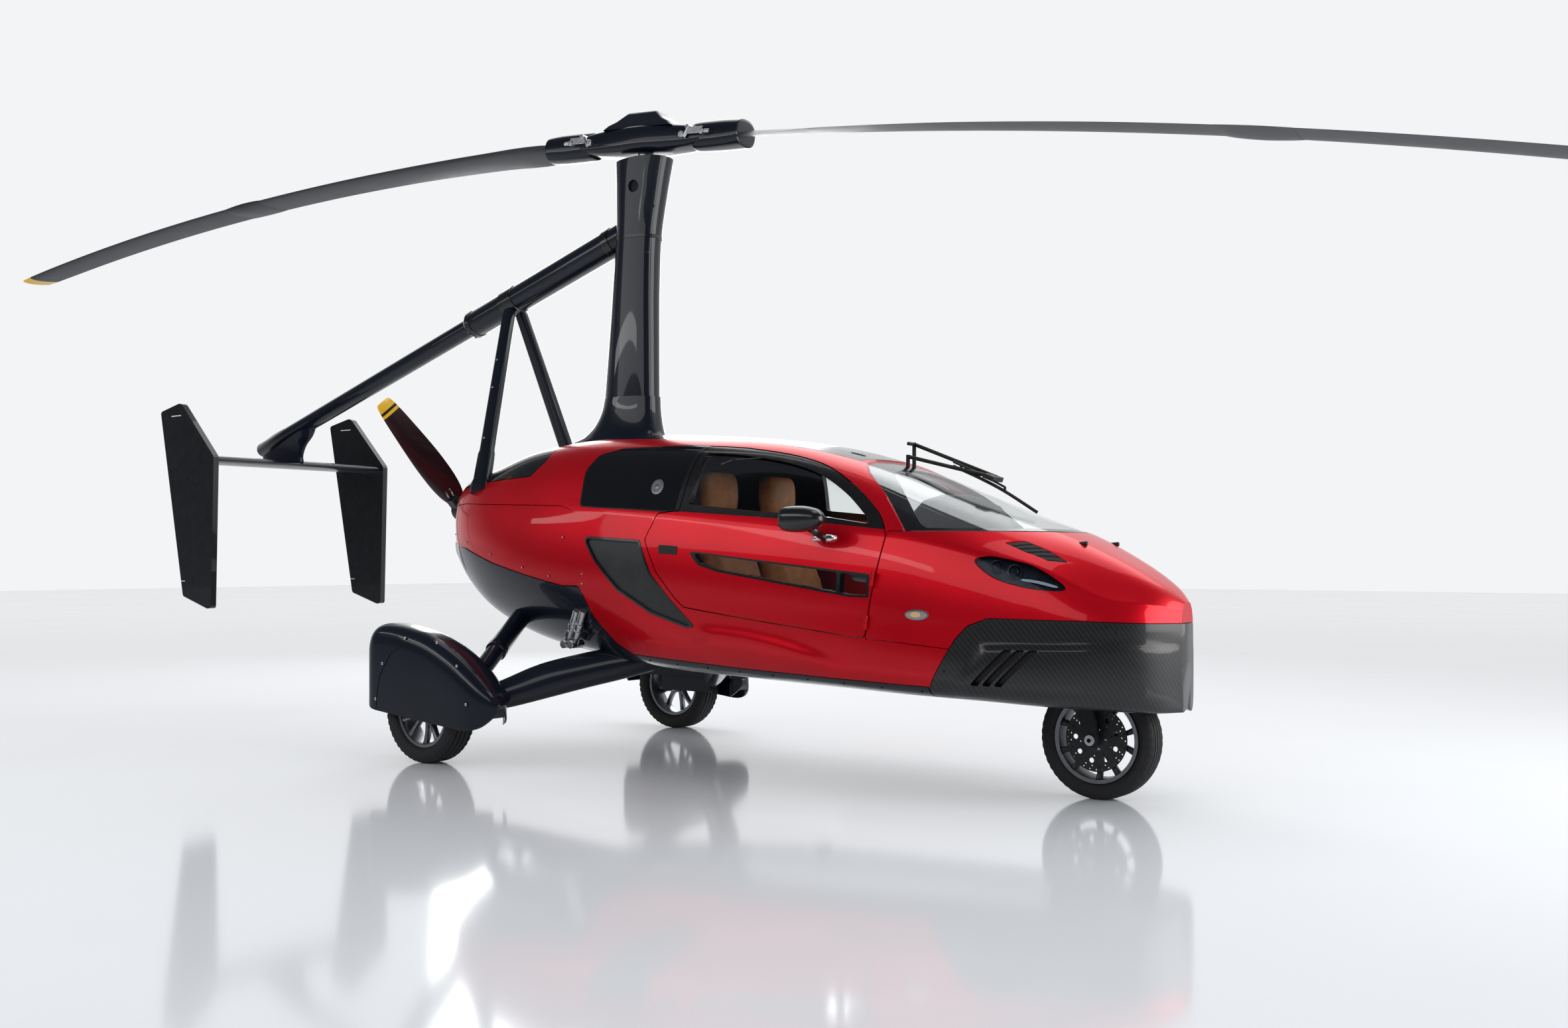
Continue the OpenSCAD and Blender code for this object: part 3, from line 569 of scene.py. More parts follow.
def fold(x, z):
    """How far the skin stands out: the flank below a line from the intake, and the lower part of the chin."""
    below = np.interp(x, FOLD[:, 0], FOLD[:, 1]) - z
    flank = 12 * ease(x, 1330, 1450) * (1 - ease(x, 1900, 2200))
    flank = flank * ease(below, -12, 34) * (1 - ease(below, 30, 170))
    ridge = np.interp(x, [2752, 2898, 3190, 3335], [622, 624, 630, 620]) - z
    ledge = np.minimum(ridge, 0.2 * (x - 2590 - 0.7 * (z - 455)))
    return flank + 13 * ease(ledge, -3, 11) * ease(z, 395, 440) * (1 - ease(x, 3290, 3335))


def half_ring(r, w, n):
    """One side of a cross section, moved in by w, with a crease along the belt and a fold below the door."""
    k = np.array([[-(r[2] - w), r[3] + w], [0, r[1] + w], [r[2] - w, r[3] + w], [r[4] - w, r[5]],
                  [r[6] - w, r[7] - w / 3], [r[8] - w / 2, r[9] - w * 0.8], [0, r[10] - w],
                  [-(r[8] - w / 2), r[9] - w * 0.8]])
    crease = np.interp(r[0], [300, 800, 2600, 2900, 3100], [0, 0.5, 0.5, 0.4, 1])
    out = []
    for s in range(1, 6):
        a, b, c, d = k[s - 1:s + 3]
        if s == 3:
            d = d + (2 * c - b - d) * crease
        if s == 4:
            a = a + (2 * b - c - a) * crease
        steps = 2 * n if s == 2 else n
        out += [catmull(a, b, c, d, i / steps) for i in range(steps)]
    out.append(k[6])
    out = np.array(out)
    out[:, 0] += fold(r[0], out[:, 1])
    return out


def skin_x(w, count=150):
    """Places of the rings, closer together at both ends."""
    t = np.linspace(0, 1, count)
    t = 0.5 * t + 0.5 * (0.5 - 0.5 * np.cos(math.pi * t))
    return TAIL_X + w + (NOSE_X - TAIL_X - 2 * w) * t


def skin_rings(w, n=14):
    rings = []
    for x in skin_x(max(w, 0)):
        h = half_ring(row_at(x), w, n)
        ring = [V(x, y, z) for y, z in h] + [V(x, -y, z) for y, z in h[-2:0:-1]]
        rings.append(ring)
    return rings


SKINS = {}


def skin(w):
    if w not in SKINS:
        SKINS[w] = loft(skin_rings(w))
    return SKINS[w].copy()


SHELLS = {}


def shell(a, b):
    """The layer of the body between two depths below the skin, in millimetres."""
    if (a, b) not in SHELLS:
        SHELLS[a, b] = cut(skin(a), skin(b))
    return SHELLS[a, b].copy()


def side_y(x, z, w=0.0):
    """Half width of the body at a place and height, in millimetres."""
    h = half_ring(row_at(x), w, 12)
    return float(np.interp(z, np.maximum.accumulate(h[:, 1]), h[:, 0]))


def on_side(x, z, out=0.0):
    """A point on the right side of the skin, in metres."""
    return V(x, -(side_y(x, z) + out), z)


def top_z(x, y):
    """Height of the skin over a plan position, in millimetres."""
    h = half_ring(row_at(x), 0.0, 12)
    top = h[len(h) // 2:]
    return float(np.interp(abs(y), top[::-1, 0], top[::-1, 1]))


def fine_normals():
    rings = np.array([[tuple(p) for p in r] for r in skin_rings(0.0, 16)])
    du = np.roll(rings, -1, 1) - np.roll(rings, 1, 1)
    dv = np.gradient(rings, axis=0)
    n = np.cross(dv, du)
    n /= np.linalg.norm(n, axis=2, keepdims=True) + 1e-12
    mid = rings.mean(1, keepdims=True)
    if ((rings - mid) * n).sum() < 0:
        n = -n
    return rings.reshape(-1, 3), n.reshape(-1, 3)


GRID_P, GRID_N = fine_normals()
TREE = KDTree(len(GRID_P))
for index, point in enumerate(GRID_P):
    TREE.insert(point, index)
TREE.balance()


def smooth_skin(me):
    """Gives the faces that lie along the body its own smooth normals, and keeps the cut edges sharp."""
    cache = {}

    def normal(p):
        key = (round(p[0], 5), round(p[1], 5), round(p[2], 5))
        if key not in cache:
            total = np.zeros(3)
            for _, i, d in TREE.find_n(p, 6):
                total += GRID_N[i] / (d * d + 1e-7)
            cache[key] = total / np.linalg.norm(total)
        return cache[key]

    me.shade_smooth()
    normals = [None] * len(me.loops)
    verts = me.vertices
    for poly in me.polygons:
        fn = np.array(poly.normal)
        side = float(fn @ normal(poly.center))
        for li in poly.loop_indices:
            if abs(side) > 0.75:
                n = normal(verts[me.loops[li].vertex_index].co)
                normals[li] = tuple(n if side > 0 else -n)
            else:
                normals[li] = tuple(fn)
    me.normals_split_custom_set(normals)
    return me


def panel(name, me, body, mat, nodes=()):
    smooth_skin(me)
    return piece(name, me, body, mat, nodes, shade=False)


def both_panels(name, me, bodies, mat, nodes=None):
    """The right-hand panel and its mirror image on the left."""
    other = mirrored(me)
    r, l = (bodies, bodies) if isinstance(bodies, str) else bodies
    nr, nl = nodes if nodes else ((), ())
    return (panel(name + "_right", me, r, mat, nr), panel(name + "_left", other, l, mat, nl))


# Side view outlines in millimetres, as in the solids but with their corners rounded.
def hinge_at(z):
    return 2224 + (z - 670) * math.tan(LEAN)


ARCH = [(1292, 1455), (1420, 1446), (1550, 1431), (1760, 1394), (1936, 1339), (2094, 1249), (2216, 1151),
        (2262, 1095)]
DOOR = rounded([(hinge_at(640) - 3, 640), (1893, 677), (1533, 718), (1296, 748), (1250, 785), (1145, 900),
                (1066, 1042), (1126, 1156), (1245, 1166), (1275, 1405)]
               + spline(ARCH, 4) + [(hinge_at(1050) - 3, 1050)],
               [22, 0, 0, 30, 30, 60, 25, 20, 12, 20] + [25] + [0] * 27 + [0] + [12])
BELT = [(1000, 1166), (1126, 1163), (1261, 1163), (1665, 1134), (1993, 1104), (2275, 1074), (2400, 1066)]
PANE_ARCH = [(1420, 1416), (1550, 1400), (1750, 1364), (1915, 1311), (2062, 1227), (2170, 1138)]
WINDOW = rounded([(1290, 1195), (1312, 1424)] + spline(PANE_ARCH, 5)
                 + [(2208, 1096), (2000, 1128), (1665, 1158)],
                 [14, 18] + [0] * 26 + [10, 0, 0])
LOW_FRAME = rounded([(1318, 992), (2236, 896), (2238, 800), (2149, 803), (1488, 901), (1385, 929)],
                    [14, 10, 10, 0, 40, 14])
LOW_PANES = [rounded([(1352, 981), (2088, 902), (2088, 822), (1496, 911), (1398, 938)], [12, 6, 6, 30, 10]),
             rounded([(2106, 900), (2224, 888), (2226, 811), (2150, 813), (2106, 819)], [6, 6, 6, 6, 6])]
QUARTER = rounded([(620, 1205), (612, 1368), (662, 1437), (788, 1464), (1173, 1463), (1258, 1459),
                   (1240, 1405), (1216, 1170)], [30, 60, 60, 60, 0, 6, 0, 10])
DAYLIGHT = rounded([(612, 1200), (603, 1368), (656, 1443), (788, 1470), (1173, 1469), (1300, 1461),
                    (1284, 1405), (1252, 1160), (1224, 1160)], [30, 60, 60, 60, 0, 0, 0, 0, 0])
INTAKE_CORNERS = [(661, 1062), (1034, 1040), (1112, 891), (1222, 775), (1352, 662), (1303, 655),
                  (1092, 714), (896, 814), (753, 949)]
INTAKE_ROUND = [25, 20, 60, 60, 8, 10, 80, 80, 80]
INTAKE = rounded(INTAKE_CORNERS, INTAKE_ROUND)
COVER = [(-900, 1218), (-349, 1237), (480, 1205), (594, 1176), (590, 1041), (648, 850), (630, 832),
         (510, 832), (237, 882), (-38, 938), (-322, 1012), (-900, 1084)]
COVER = rounded(COVER, [0, 0, 0, 60, 150, 25, 15, 0, 0, 0, 0, 0])
DECK = rounded([(-900, 1270), (-252, 1343), (201, 1359), (280, 1431), (290, 1640), (-900, 1640)],
               [0, 0, 40, 30, 0, 0])
BELLY = [(-900, 1081), (-322, 1009), (-38, 935), (237, 879), (510, 829), (640, 826), (668, 780), (716, 689),
         (829, 569), (923, 513), (960, 300), (-900, 300)]
FLOOR = [(963, 300), (926, 519), (1562, 486), (2044, 467), (2480, 452), (2450, 300)]
CHIN = rounded([(2453, 300), (2484, 443), (2605, 643), (2651, 695), (2734, 727), (3086, 719), (3277, 710),
                (3400, 706), (3400, 300)], [0, 0, 30, 60, 60, 0, 0, 0, 0])
NOSE = rounded([(hinge_at(1066) + 3, 1066), (3000, 1060), (3400, 1056), (3400, 709), (3277, 713),
                (3086, 722), (2734, 730), (2649, 698), (2603, 646), (2580, 608), (2297, 634),
                (hinge_at(636) + 3, 636)],
               [8, 0, 0, 0, 0, 0, 60, 60, 30, 6, 0, 8])
SCREEN = spline([(1993, 1386), (2017, 1366), (2203, 1234), (2340, 1090)], 5)
SCREEN = [(2356, 1069), (3000, 1063), (3000, 1700), (1993, 1700)] + SCREEN
LAMP = spline([(2662, 946), (2711, 965), (2800, 950), (2884, 925), (2975, 868), (2996, 838), (2940, 836),
               (2850, 849), (2740, 884)], 5, closed=True)
ROOF = [(293, 250), (700, 300), (1300, 322), (1700, 300), (1990, 238)]
ROOF_PLAN = ROOF + [(x, -y) for x, y in reversed(ROOF)]
WELL = [(-215, 170), (150, 170), (215, 90)]
VENT = rounded([(2741, -373), (2806, -321), (2910, -302), (2980, -292), (2916, -344), (2829, -366)],
               [4, 10, 0, 4, 0, 0])


def intake_inside(d):
    """The intake's outline moved in by d."""
    return rounded(grown(INTAKE_CORNERS, -d), [max(4, r - d) for r in INTAKE_ROUND])


def roof_plan(d=0.0):
    return prism(grown(ROOF_PLAN, d) if d else ROOF_PLAN, "z", 1000, 1900)


def shaft_hole():
    return revolve([(0.0, -0.7), (0.066, -0.7), (0.066, -0.56), (0.0, -0.56)], 40, "x", V(0, 0, 1227))


SEAM = 3.0


def make_nose():
    """The nose, with openings for the lamps and the bonnet vents."""
    me = keep(shell(0, WALL), across(NOSE))
    vent = prism(VENT, "z", 860, 1200)
    lamp = right_of(grown(LAMP, 1.5))
    me = cut(me, lamp, mirrored(lamp), vent, mirrored(vent))
    panel("nose_panel", me, "body", RED, "nose")


def make_chin():
    """Chin fairing, open below for the wheel."""
    me = keep(shell(0, WALL), across(CHIN))
    well = [(x + 1000 * WHEELBASE, y) for x, y in WELL]
    well = prism(well + [(x, -y) for x, y in reversed(well)], "z", 0, 480)
    slots = []
    for k in range(3):
        x = 2664 + k * 47
        slots.append(right_of(rounded([(x, 470), (x + 30, 467), (x + 172, 611), (x + 138, 611)],
                                      [8, 8, 8, 8])))
    slots += [mirrored(s) for s in slots]
    me = cut(me, well, *slots)
    panel("chin_fairing", me, "body", CARBON, "chin")
    back = keep(shell(20, 26), right_of(grown([(2650, 460), (2800, 456), (2950, 622), (2790, 622)], 4)))
    panel("chin_slot_back", pair(back), "body", SATIN_BLACK, ())


def make_windscreen():
    """Windshield with its black band."""
    me = keep(shell(4, 9), across(SCREEN))
    panel("windscreen", me, "body", CLEAR_GLASS, "windshield")
    inner = spline([(2050, 1378), (2092, 1348), (2262, 1238), (2412, 1092)], 5)
    inner = [(2440, 1078), (2990, 1074), (3000, 1700), (2040, 1700)] + inner
    band = keep(shell(9.4, 11), across(SCREEN))
    band = cut(band, across(inner))
    panel("windscreen_band", band, "body", GLOSS_BLACK, ())


def make_side_frames():
    """Side frames: sill, pillars, roof rail and tail band."""
    full = [(-900, 300), (3400, 300), (3400, 1700), (-900, 1700)]
    me = keep(shell(0, WALL), right_of(full))
    for outline, gap in ((DOOR, 5), (DAYLIGHT, 1.0), (INTAKE, 1.0), (COVER, SEAM), (DECK, SEAM),
                         (BELLY, SEAM), (FLOOR, SEAM), (CHIN, SEAM), (NOSE, SEAM)):
        me = cut(me, right_of(grown(outline, gap), -5))
    me = cut(me, right_of(SCREEN, -5), roof_plan(SEAM), shaft_hole())
    both_panels("side_frame", me, "body", RED, ("side_right", "side_left"))


def make_daylight_band():
    """Black daylight band: quarter glass and pillar."""
    pillar = keep(shell(0.5, WALL), right_of(DAYLIGHT))
    pillar = cut(pillar, right_of(grown(DOOR, 5)), right_of(grown(QUARTER, 1.2)), roof_plan(SEAM))
    both_panels("pillar_trim", pillar, "body", GLOSS_BLACK, None)
    me = keep(shell(1, 8), right_of(QUARTER))
    me = cut(me, roof_plan(SEAM))
    panel("quarter_window", pair(me), "body", DARK_GLASS, "quarter_glass")


def make_roof():
    """Roof panel with a flush hatch."""
    me = keep(shell(0, WALL), roof_plan())
    groove = [(1600, 150), (1880, 128), (1880, -128), (1600, -150)]
    hatch = rounded(groove, 25)
    ring = cut(prism(grown(hatch, 3), "z", 1300, 1700), prism(hatch, "z", 1250, 1750))
    me = cut(me, keep(ring, shell(-2, 5)))
    panel("roof_panel", me, "body", GLOSS_BLACK, "roof")


def make_intakes():
    """Intakes: a floor below the skin inside a raised lip."""
    me = keep(shell(9, WALL), right_of(intake_inside(10.5)))
    panel("intake_scoops", pair(me), "body", INTAKE_GREY, "intakes")
    lip = cut(keep(shell(-2, WALL), right_of(INTAKE)), right_of(intake_inside(10)))
    panel("intake_lips", pair(lip), "body", GLOSS_BLACK, ())


def make_rear_panels():
    """Engine covers, rear deck with louvres, belly and floor."""
    me = cut(keep(shell(5, WALL), right_of(COVER, 1.5)), shaft_hole())
    panel("engine_cover_panels", pair(me), "body", RED, "engine_covers")
    me = keep(shell(0, WALL), across(DECK))
    me = cut(me, roof_plan(SEAM), shaft_hole())
    for k in range(6):
        x = -560 + k * 112
        slot = rounded([(x, 62), (x + 46, 62), (x + 70, 232 + k * 6), (x + 30, 232 + k * 6)], 10)
        s = prism(slot, "z", 1200, 1700)
        me = cut(me, s, mirrored(s))
    panel("rear_deck_cover", me, "body", GLOSS_BLACK, "rear_deck")
    tray = keep(shell(16, 20), prism([(-640, -300), (130, -300), (130, 300), (-640, 300)], "z", 1200, 1700))
    panel("rear_deck_tray", tray, "body", SATIN_BLACK, ())
    panel("engine_belly_panel", keep(shell(0, WALL), across(BELLY)), "body", NAVY, "engine_belly")
    floor = keep(shell(0, WALL), across(FLOOR))
    pad = revolve([(0.0, 0.425), (0.036, 0.425), (0.04, 0.429), (0.04, 0.475), (0.0, 0.475)], 40, "z",
                  V(1400, -330, 0))
    panel("floor_pan", floor, "body", NAVY, "floor")
    piece("jack_pads", pair(pad), "body", SATIN_BLACK, ())


def make_doors():
    """Doors: red skin below the belt, black frame round the window."""
    low = [(1000, 500)] + [(2400, 500)] + BELT[::-1]
    door = keep(shell(0, WALL), right_of(DOOR))
    frame_part = cut(door.copy(), right_of(low))
    frame_part = cut(frame_part, right_of(WINDOW))
    lower = keep(door, right_of(low))
    lower = cut(lower, right_of(LOW_FRAME))
    both_panels("door_skin", lower, ("door_right", "door_left"), RED, ("door_right", "door_left"))
    both_panels("door_frame", frame_part, ("door_right", "door_left"), GLOSS_BLACK, None)
    me = keep(shell(4, 9), right_of(grown(WINDOW, 0.5)))
    both_panels("door_window", me, ("door_right", "door_left"), TINT_GLASS,
                ("door_glass_right", "door_glass_left"))
    ring = keep(shell(-1.0, WALL), right_of(LOW_FRAME))
    for p in LOW_PANES:
        ring = cut(ring, right_of(p))
    both_panels("low_window_frame", ring, ("door_right", "door_left"), GLOSS_BLACK, None)
    panes = joined(*[keep(shell(4, 8), right_of(p)) for p in LOW_PANES])
    both_panels("low_window", panes, ("door_right", "door_left"), CLEAR_GLASS, None)
    handle = keep(shell(-2, 8),
                  right_of(rounded([(1152, 1018), (1262, 1012), (1263, 974), (1155, 980)], 10)))
    both_panels("door_handle", handle, ("door_right", "door_left"), SATIN_BLACK, None)


def make_vents():
    """Bonnet vents: a dark tray with slats."""
    tray = keep(shell(14, 20), prism(grown(VENT, 6), "z", 860, 1200))
    panel("vent_trays", pair(tray), "body", SATIN_BLACK, ())
    slats = []
    for k in range(6):
        x, y = 2724 + k * 34, -392 + k * 6
        strip = [(x, y), (x + 17, y), (x + 137, y + 96), (x + 120, y + 96)]
        s = keep(shell(1.5, 12), prism(strip, "z", 860, 1200))
        slats.append(keep(s, prism(VENT, "z", 860, 1200)))
    slats = joined(*slats)
    panel("vent_slats", pair(slats), "body", SATIN_BLACK, ())


def make_headlamps():
    """Headlamps: dark bowl, bright units and a clear cover."""
    bowl = keep(shell(24, WALL), right_of(grown(LAMP, 2)))
    panel("lamp_bowls", pair(bowl), "body", LAMP_BOWL, "headlamps")
    cover = keep(shell(0.5, 3.5), right_of(LAMP))
    panel("lamp_covers", pair(cover), "body", LAMP_GLASS, ())
    bezels, lenses = [], []
    for x, z, r in ((2738, 925, 0.023), (2806, 906, 0.025)):
        aim = Matrix.Translation(on_side(x, z, -21)) @ Matrix.Rotation(math.radians(180 + 40), 4, "Z")
        ring = revolve([(r, 0.012), (r * 1.14, 0.014), (r * 1.18, 0.0), (r, -0.004)], 40, "y")
        lens = revolve([(0, 0.013), (r * 0.4, 0.0115), (r * 0.75, 0.007), (r * 0.98, 0.0),
                        (r * 0.9, -0.004), (0, -0.004)], 40, "y")
        for part, store in ((ring, bezels), (lens, lenses)):
            part.transform(aim)
            store.append(part)
    for name, parts, mat in (("lamp_bezels", bezels, DARK_ALLOY), ("lamp_lenses", lenses, LAMP_BOWL)):
        parts = joined(*parts)
        piece(name, pair(parts), "body", mat, ())
    strip = keep(shell(8, 12),
                 right_of(spline([(2846, 872), (2900, 862), (2960, 846), (2966, 852), (2905, 871),
                                               (2848, 879)], 3, closed=True)))
    panel("lamp_strips", pair(strip), "body", WHITE, ())


def make_markers():
    """Side marker lamps."""
    oval = [(2448 + 50 * math.cos(a), 737 + 21 * math.sin(a)) for a in np.linspace(0, 2 * math.pi, 40)[:-1]]
    rim = cut(keep(shell(-4, 6), right_of(oval)), right_of(grown(oval, -6)))
    lens = keep(shell(-3, 6), right_of(grown(oval, -6)))
    panel("marker_rims", pair(rim), "body", CHROME, ())
    panel("marker_lenses", pair(lens), "body", LENS, ())
    small = [(2442 + (x - 2448) * 0.42, 737 + (z - 737) * 0.5) for x, z in oval]
    bulb = keep(shell(-4.5, 0), right_of(small))
    panel("marker_bulbs", pair(bulb), "body", AMBER, ())


make_nose()
make_chin()
make_windscreen()
make_side_frames()
make_daylight_band()
make_roof()
make_intakes()
make_rear_panels()
make_doors()
make_vents()
make_headlamps()
make_markers()


# Helpers for the running gear
def level_ring(x, y, z, a, b, n=48, power=2.0):
    """A level oval: half length a along x and half width b, in millimetres."""
    ring = []
    for t in circle(n):
        c, s = math.cos(t), math.sin(t)
        ring.append(V(x + a * squared(c, 2 / power), y + b * squared(s, 2 / power), z))
    return ring


def facing_ring(axis, h, u, v, a, b, n=40, power=2.0):
    """An upright oval across x (u is y) or across y (u is x): half sizes a and b, in millimetres."""
    ring = []
    for t in circle(n):
        c, s = math.cos(t), math.sin(t)
        p = u + a * squared(c, 2 / power)
        q = v + b * squared(s, 2 / power)
        ring.append(V(h, p, q) if axis == "x" else V(p, h, q))
    return ring


def spun(a, b, profile, sides=40):
    """A round bar from a towards b: profile holds (distance, radius) pairs in metres."""
    a, b = Vector(a), Vector(b)
    d = (b - a).normalized()
    u = d.orthogonal().normalized()
    v = d.cross(u)
    rings = []
    for t, r in profile:
        rings.append([a + d * t + (u * math.cos(q) + v * math.sin(q)) * r
                      for q in circle(sides)])
    return loft(rings)


def rod(a, b, r, sides=32, edge=0.002):
    a, b = Vector(a), Vector(b)
    l = (b - a).length
    return spun(a, b, [(0, r - edge), (edge, r), (l - edge, r), (l, r - edge)], sides)


def screw(at, normal, r=0.006, h=0.0025):
    """A round screw head with a socket."""
    n = Vector(normal).normalized()
    p = Vector(at)
    return spun(p - n * 0.002, p + n,
                [(0, r), (0.002 + h * 0.5, r), (0.002 + h, r * 0.75), (0.0021 + h, r * 0.45),
                                       (0.001 + h * 0.5, r * 0.42)], 12)


def skin_normal(x, z):
    """Outward normal of the right side of the body."""
    p = on_side(x, z)
    _, i, _ = TREE.find(p)
    return Vector(GRID_N[i])


def aerofoil(n=14, thick=0.12):
    """A closed outline of unit chord, nose at 0 and tail at 1: (along, height) pairs."""
    def t(x):
        front = 0.2969 * math.sqrt(x) - 0.126 * x - 0.3516 * x * x + 0.2843 * x ** 3
        return 5 * thick * (front - 0.1015 * x ** 4)
    xs = [0.5 - 0.5 * math.cos(math.pi * k / n) for k in range(n + 1)]
    return [(x, t(x)) for x in reversed(xs)] + [(x, -t(x)) for x in xs[1:]]


def paint_faces(me, index, test):
    for poly in me.polygons:
        if test(poly.center):
            poly.material_index = index


def smooth_table(table, n=6):
    """Rows of a table with smooth steps put in between."""
    return spline(table, n)


# Mast, boom and tail
MAST = [(1562, 455, 336, 204), (1680, 458, 322, 200), (2000, 474, 284, 194), (2300, 489, 254, 190),
        (2550, 506, 242, 190), (2760, 526, 276, 206), (2930, 545, 314, 226)]
BOOM_A = V(346, 0, 2560)
BOOM_B = V(-2664, 0, 1635)


def boom_at(x):
    return BOOM_A + (BOOM_B - BOOM_A) * ((x / 1000 - BOOM_A.x) / (BOOM_B.x - BOOM_A.x))


def make_mast():
    rows = smooth_table(MAST) + [(2932, 545.5, 308, 220), (2935, 546, 290, 204), (2936, 546, 200, 130)]
    me = loft([level_ring(x, 0, z, c / 2, w / 2, 64, 2.2) for z, x, c, w in rows])
    eye = revolve([(0.0, 0.0), (0.03, 0.0), (0.03, 0.02), (0.0, 0.02)], 32, "y", V(560, -112, 2790))
    me = cut(me, eye)
    shaft = rod(HUB + Vector((-0.011, 0, -0.13)), HUB + Vector((0.008, 0, 0.1)), 0.038)
    piece("mast_shell", me, "body", NAVY, "mast")
    piece("rotor_shaft", shaft, "body", STEEL, ())
    skirt = smooth_table([(1478, 395, 330, 190), (1534, 385, 292, 168), (1575, 412, 235, 140),
                          (1620, 436, 200, 120), (1690, 455, 172, 106), (1760, 464, 160, 101)], 5)
    me = loft([level_ring(x, 0, z, a, b, 64, 2.2) for z, x, a, b in skirt])
    piece("mast_skirt", cut(me, skin(6)), "body", NAVY, "mast_fairing")
    z, x, c, w = min(rows, key=lambda r: abs(r[0] - 2545))
    collar = ((-9, 0.5), (-8, 3), (8, 3), (9, 0.5))
    bands = [loft([level_ring(x, 0, z + h, c / 2 + d, w / 2 + d, 64, 2.2) for h, d in collar])]
    for h, x, y in ((2690, 640, -44), (2470, 606, -48), (2860, 672, -50)):
        bands.append(screw(V(x, y, h), (0.75, -0.65, 0), 0.008))
    piece("mast_trim", joined(*bands), "body", GLOSS_BLACK, ())


def make_boom():
    """Front and rear tube of the boom, with its clamps and its foot."""
    a, b = boom_at(430), boom_at(-737)
    l = (b - a).length
    tube_front = spun(a, b, [(0, 0.07), (l - 0.06, 0.07), (l - 0.03, 0.067), (l - 0.012, 0.06), (l, 0.048)],
                      56)
    piece("boom_front_tube", tube_front, "body", NAVY, "boom_front")
    rings = []
    for x, w in ((330, 0.05), (-395, 0.10), (-690, 0.03)):
        c = boom_at(x)
        d = (b - a).normalized()
        rings.append(spun(c - d * w / 2, c + d,
                          [(0, 0.068), (0.003, 0.0745), (w - 0.003, 0.0745), (w, 0.068)], 56))
        for k in range(4):
            q = math.radians(200 + k * 34)
            n = Vector((0, math.cos(q), math.sin(q)))
            rings.append(screw(c + n * 0.074, n, 0.008))
    piece("boom_clamps", joined(*rings), "body", GLOSS_BLACK, ())
    a, b = boom_at(-700), BOOM_B
    l = (b - a).length
    tube_rear = spun(a, b, [(0, 0.05), (l - 0.3, 0.047), (l - 0.01, 0.045), (l, 0.04)], 48)
    pylon = smooth_table([(1548, -2445, 205, 24), (1590, -2452, 205, 22), (1650, -2440, 225, 26),
                          (1700, -2385, 225, 34), (1748, -2300, 165, 40), (1775, -2245, 95, 36)], 5)
    pylon = loft([level_ring(x, 0, z, a, b, 48, 2.4) for z, x, a, b in pylon])
    piece("boom_rear_tube", joined(tube_rear, pylon), "body", NAVY, "boom_rear")


def make_struts():
    """Struts from the boom down to the rear deck."""
    top, foot = V(-385, -34, 2300), V(-240, -373, 1292)
    d = (foot - top).normalized()
    side = d.cross(Vector((1, 0, 0))).normalized()
    fore = side.cross(d).normalized()
    rings = []
    for t, w, h in ((0, 0.024, 0.02), (0.04, 0.034, 0.024), (0.5, 0.038, 0.026), (0.78, 0.040, 0.027),
                    (0.80, 0.046, 0.03), (0.93, 0.048, 0.032), (0.95, 0.056, 0.036), (1.0, 0.058, 0.036)):
        p = top + (foot - top) * t
        rings.append([p + fore * w * squared(math.cos(q), 0.6)
                      + side * h * squared(math.sin(q), 0.6)
                      for q in circle(36)])
    strut = cut(loft(rings), skin(1))
    piece("boom_struts", pair(strut), "body", NAVY, "struts")
    outer = ((0.84, 0.031), (0.9, 0.032), (0.97, 0.036))
    inner = ((0.3, 0.024), (0.45, 0.025), (0.72, 0.026))
    bolts = [screw(top + (foot - top) * t - side * s + fore * 0.02, -side, 0.01) for t, s in outer]
    bolts += [screw(top + (foot - top) * t + side * s - fore * 0.01, side, 0.007) for t, s in inner]
    piece("strut_bolts", pair(joined(*bolts)), "body", STEEL, ())


def make_tail():
    """Tail plane and fins."""
    chord = [(-2245 - 415 * u, 1535 + 415 * h) for u, h in aerofoil(16, 0.12)]
    rings = [[V(x, y, z) for x, z in chord] for y in np.linspace(-583, 583, 9)]
    piece("tail_plane", loft(rings), "body", NAVY, "stabiliser")
    outline = rounded([(-2223, 1548), (-2252, 672), (-2290, 668), (-2540, 738), (-2775, 1834),
                       (-2560, 1878)],
                      [40, 25, 30, 25, 20, 60], 6)
    fin = prism(outline, "y", -617, -583)
    piece("tail_fins", pair(fin), "body", GLOSS_BLACK, "fins", bevel=0.011)
    marks = [box((0.10, 0.0362, 0.005), V(-2608, -600, 1802)),
             box((0.04, 0.0362, 0.004), V(-2536, -600, 826))]
    piece("fin_marks", pair(joined(*marks)), "body", WHITE, ())


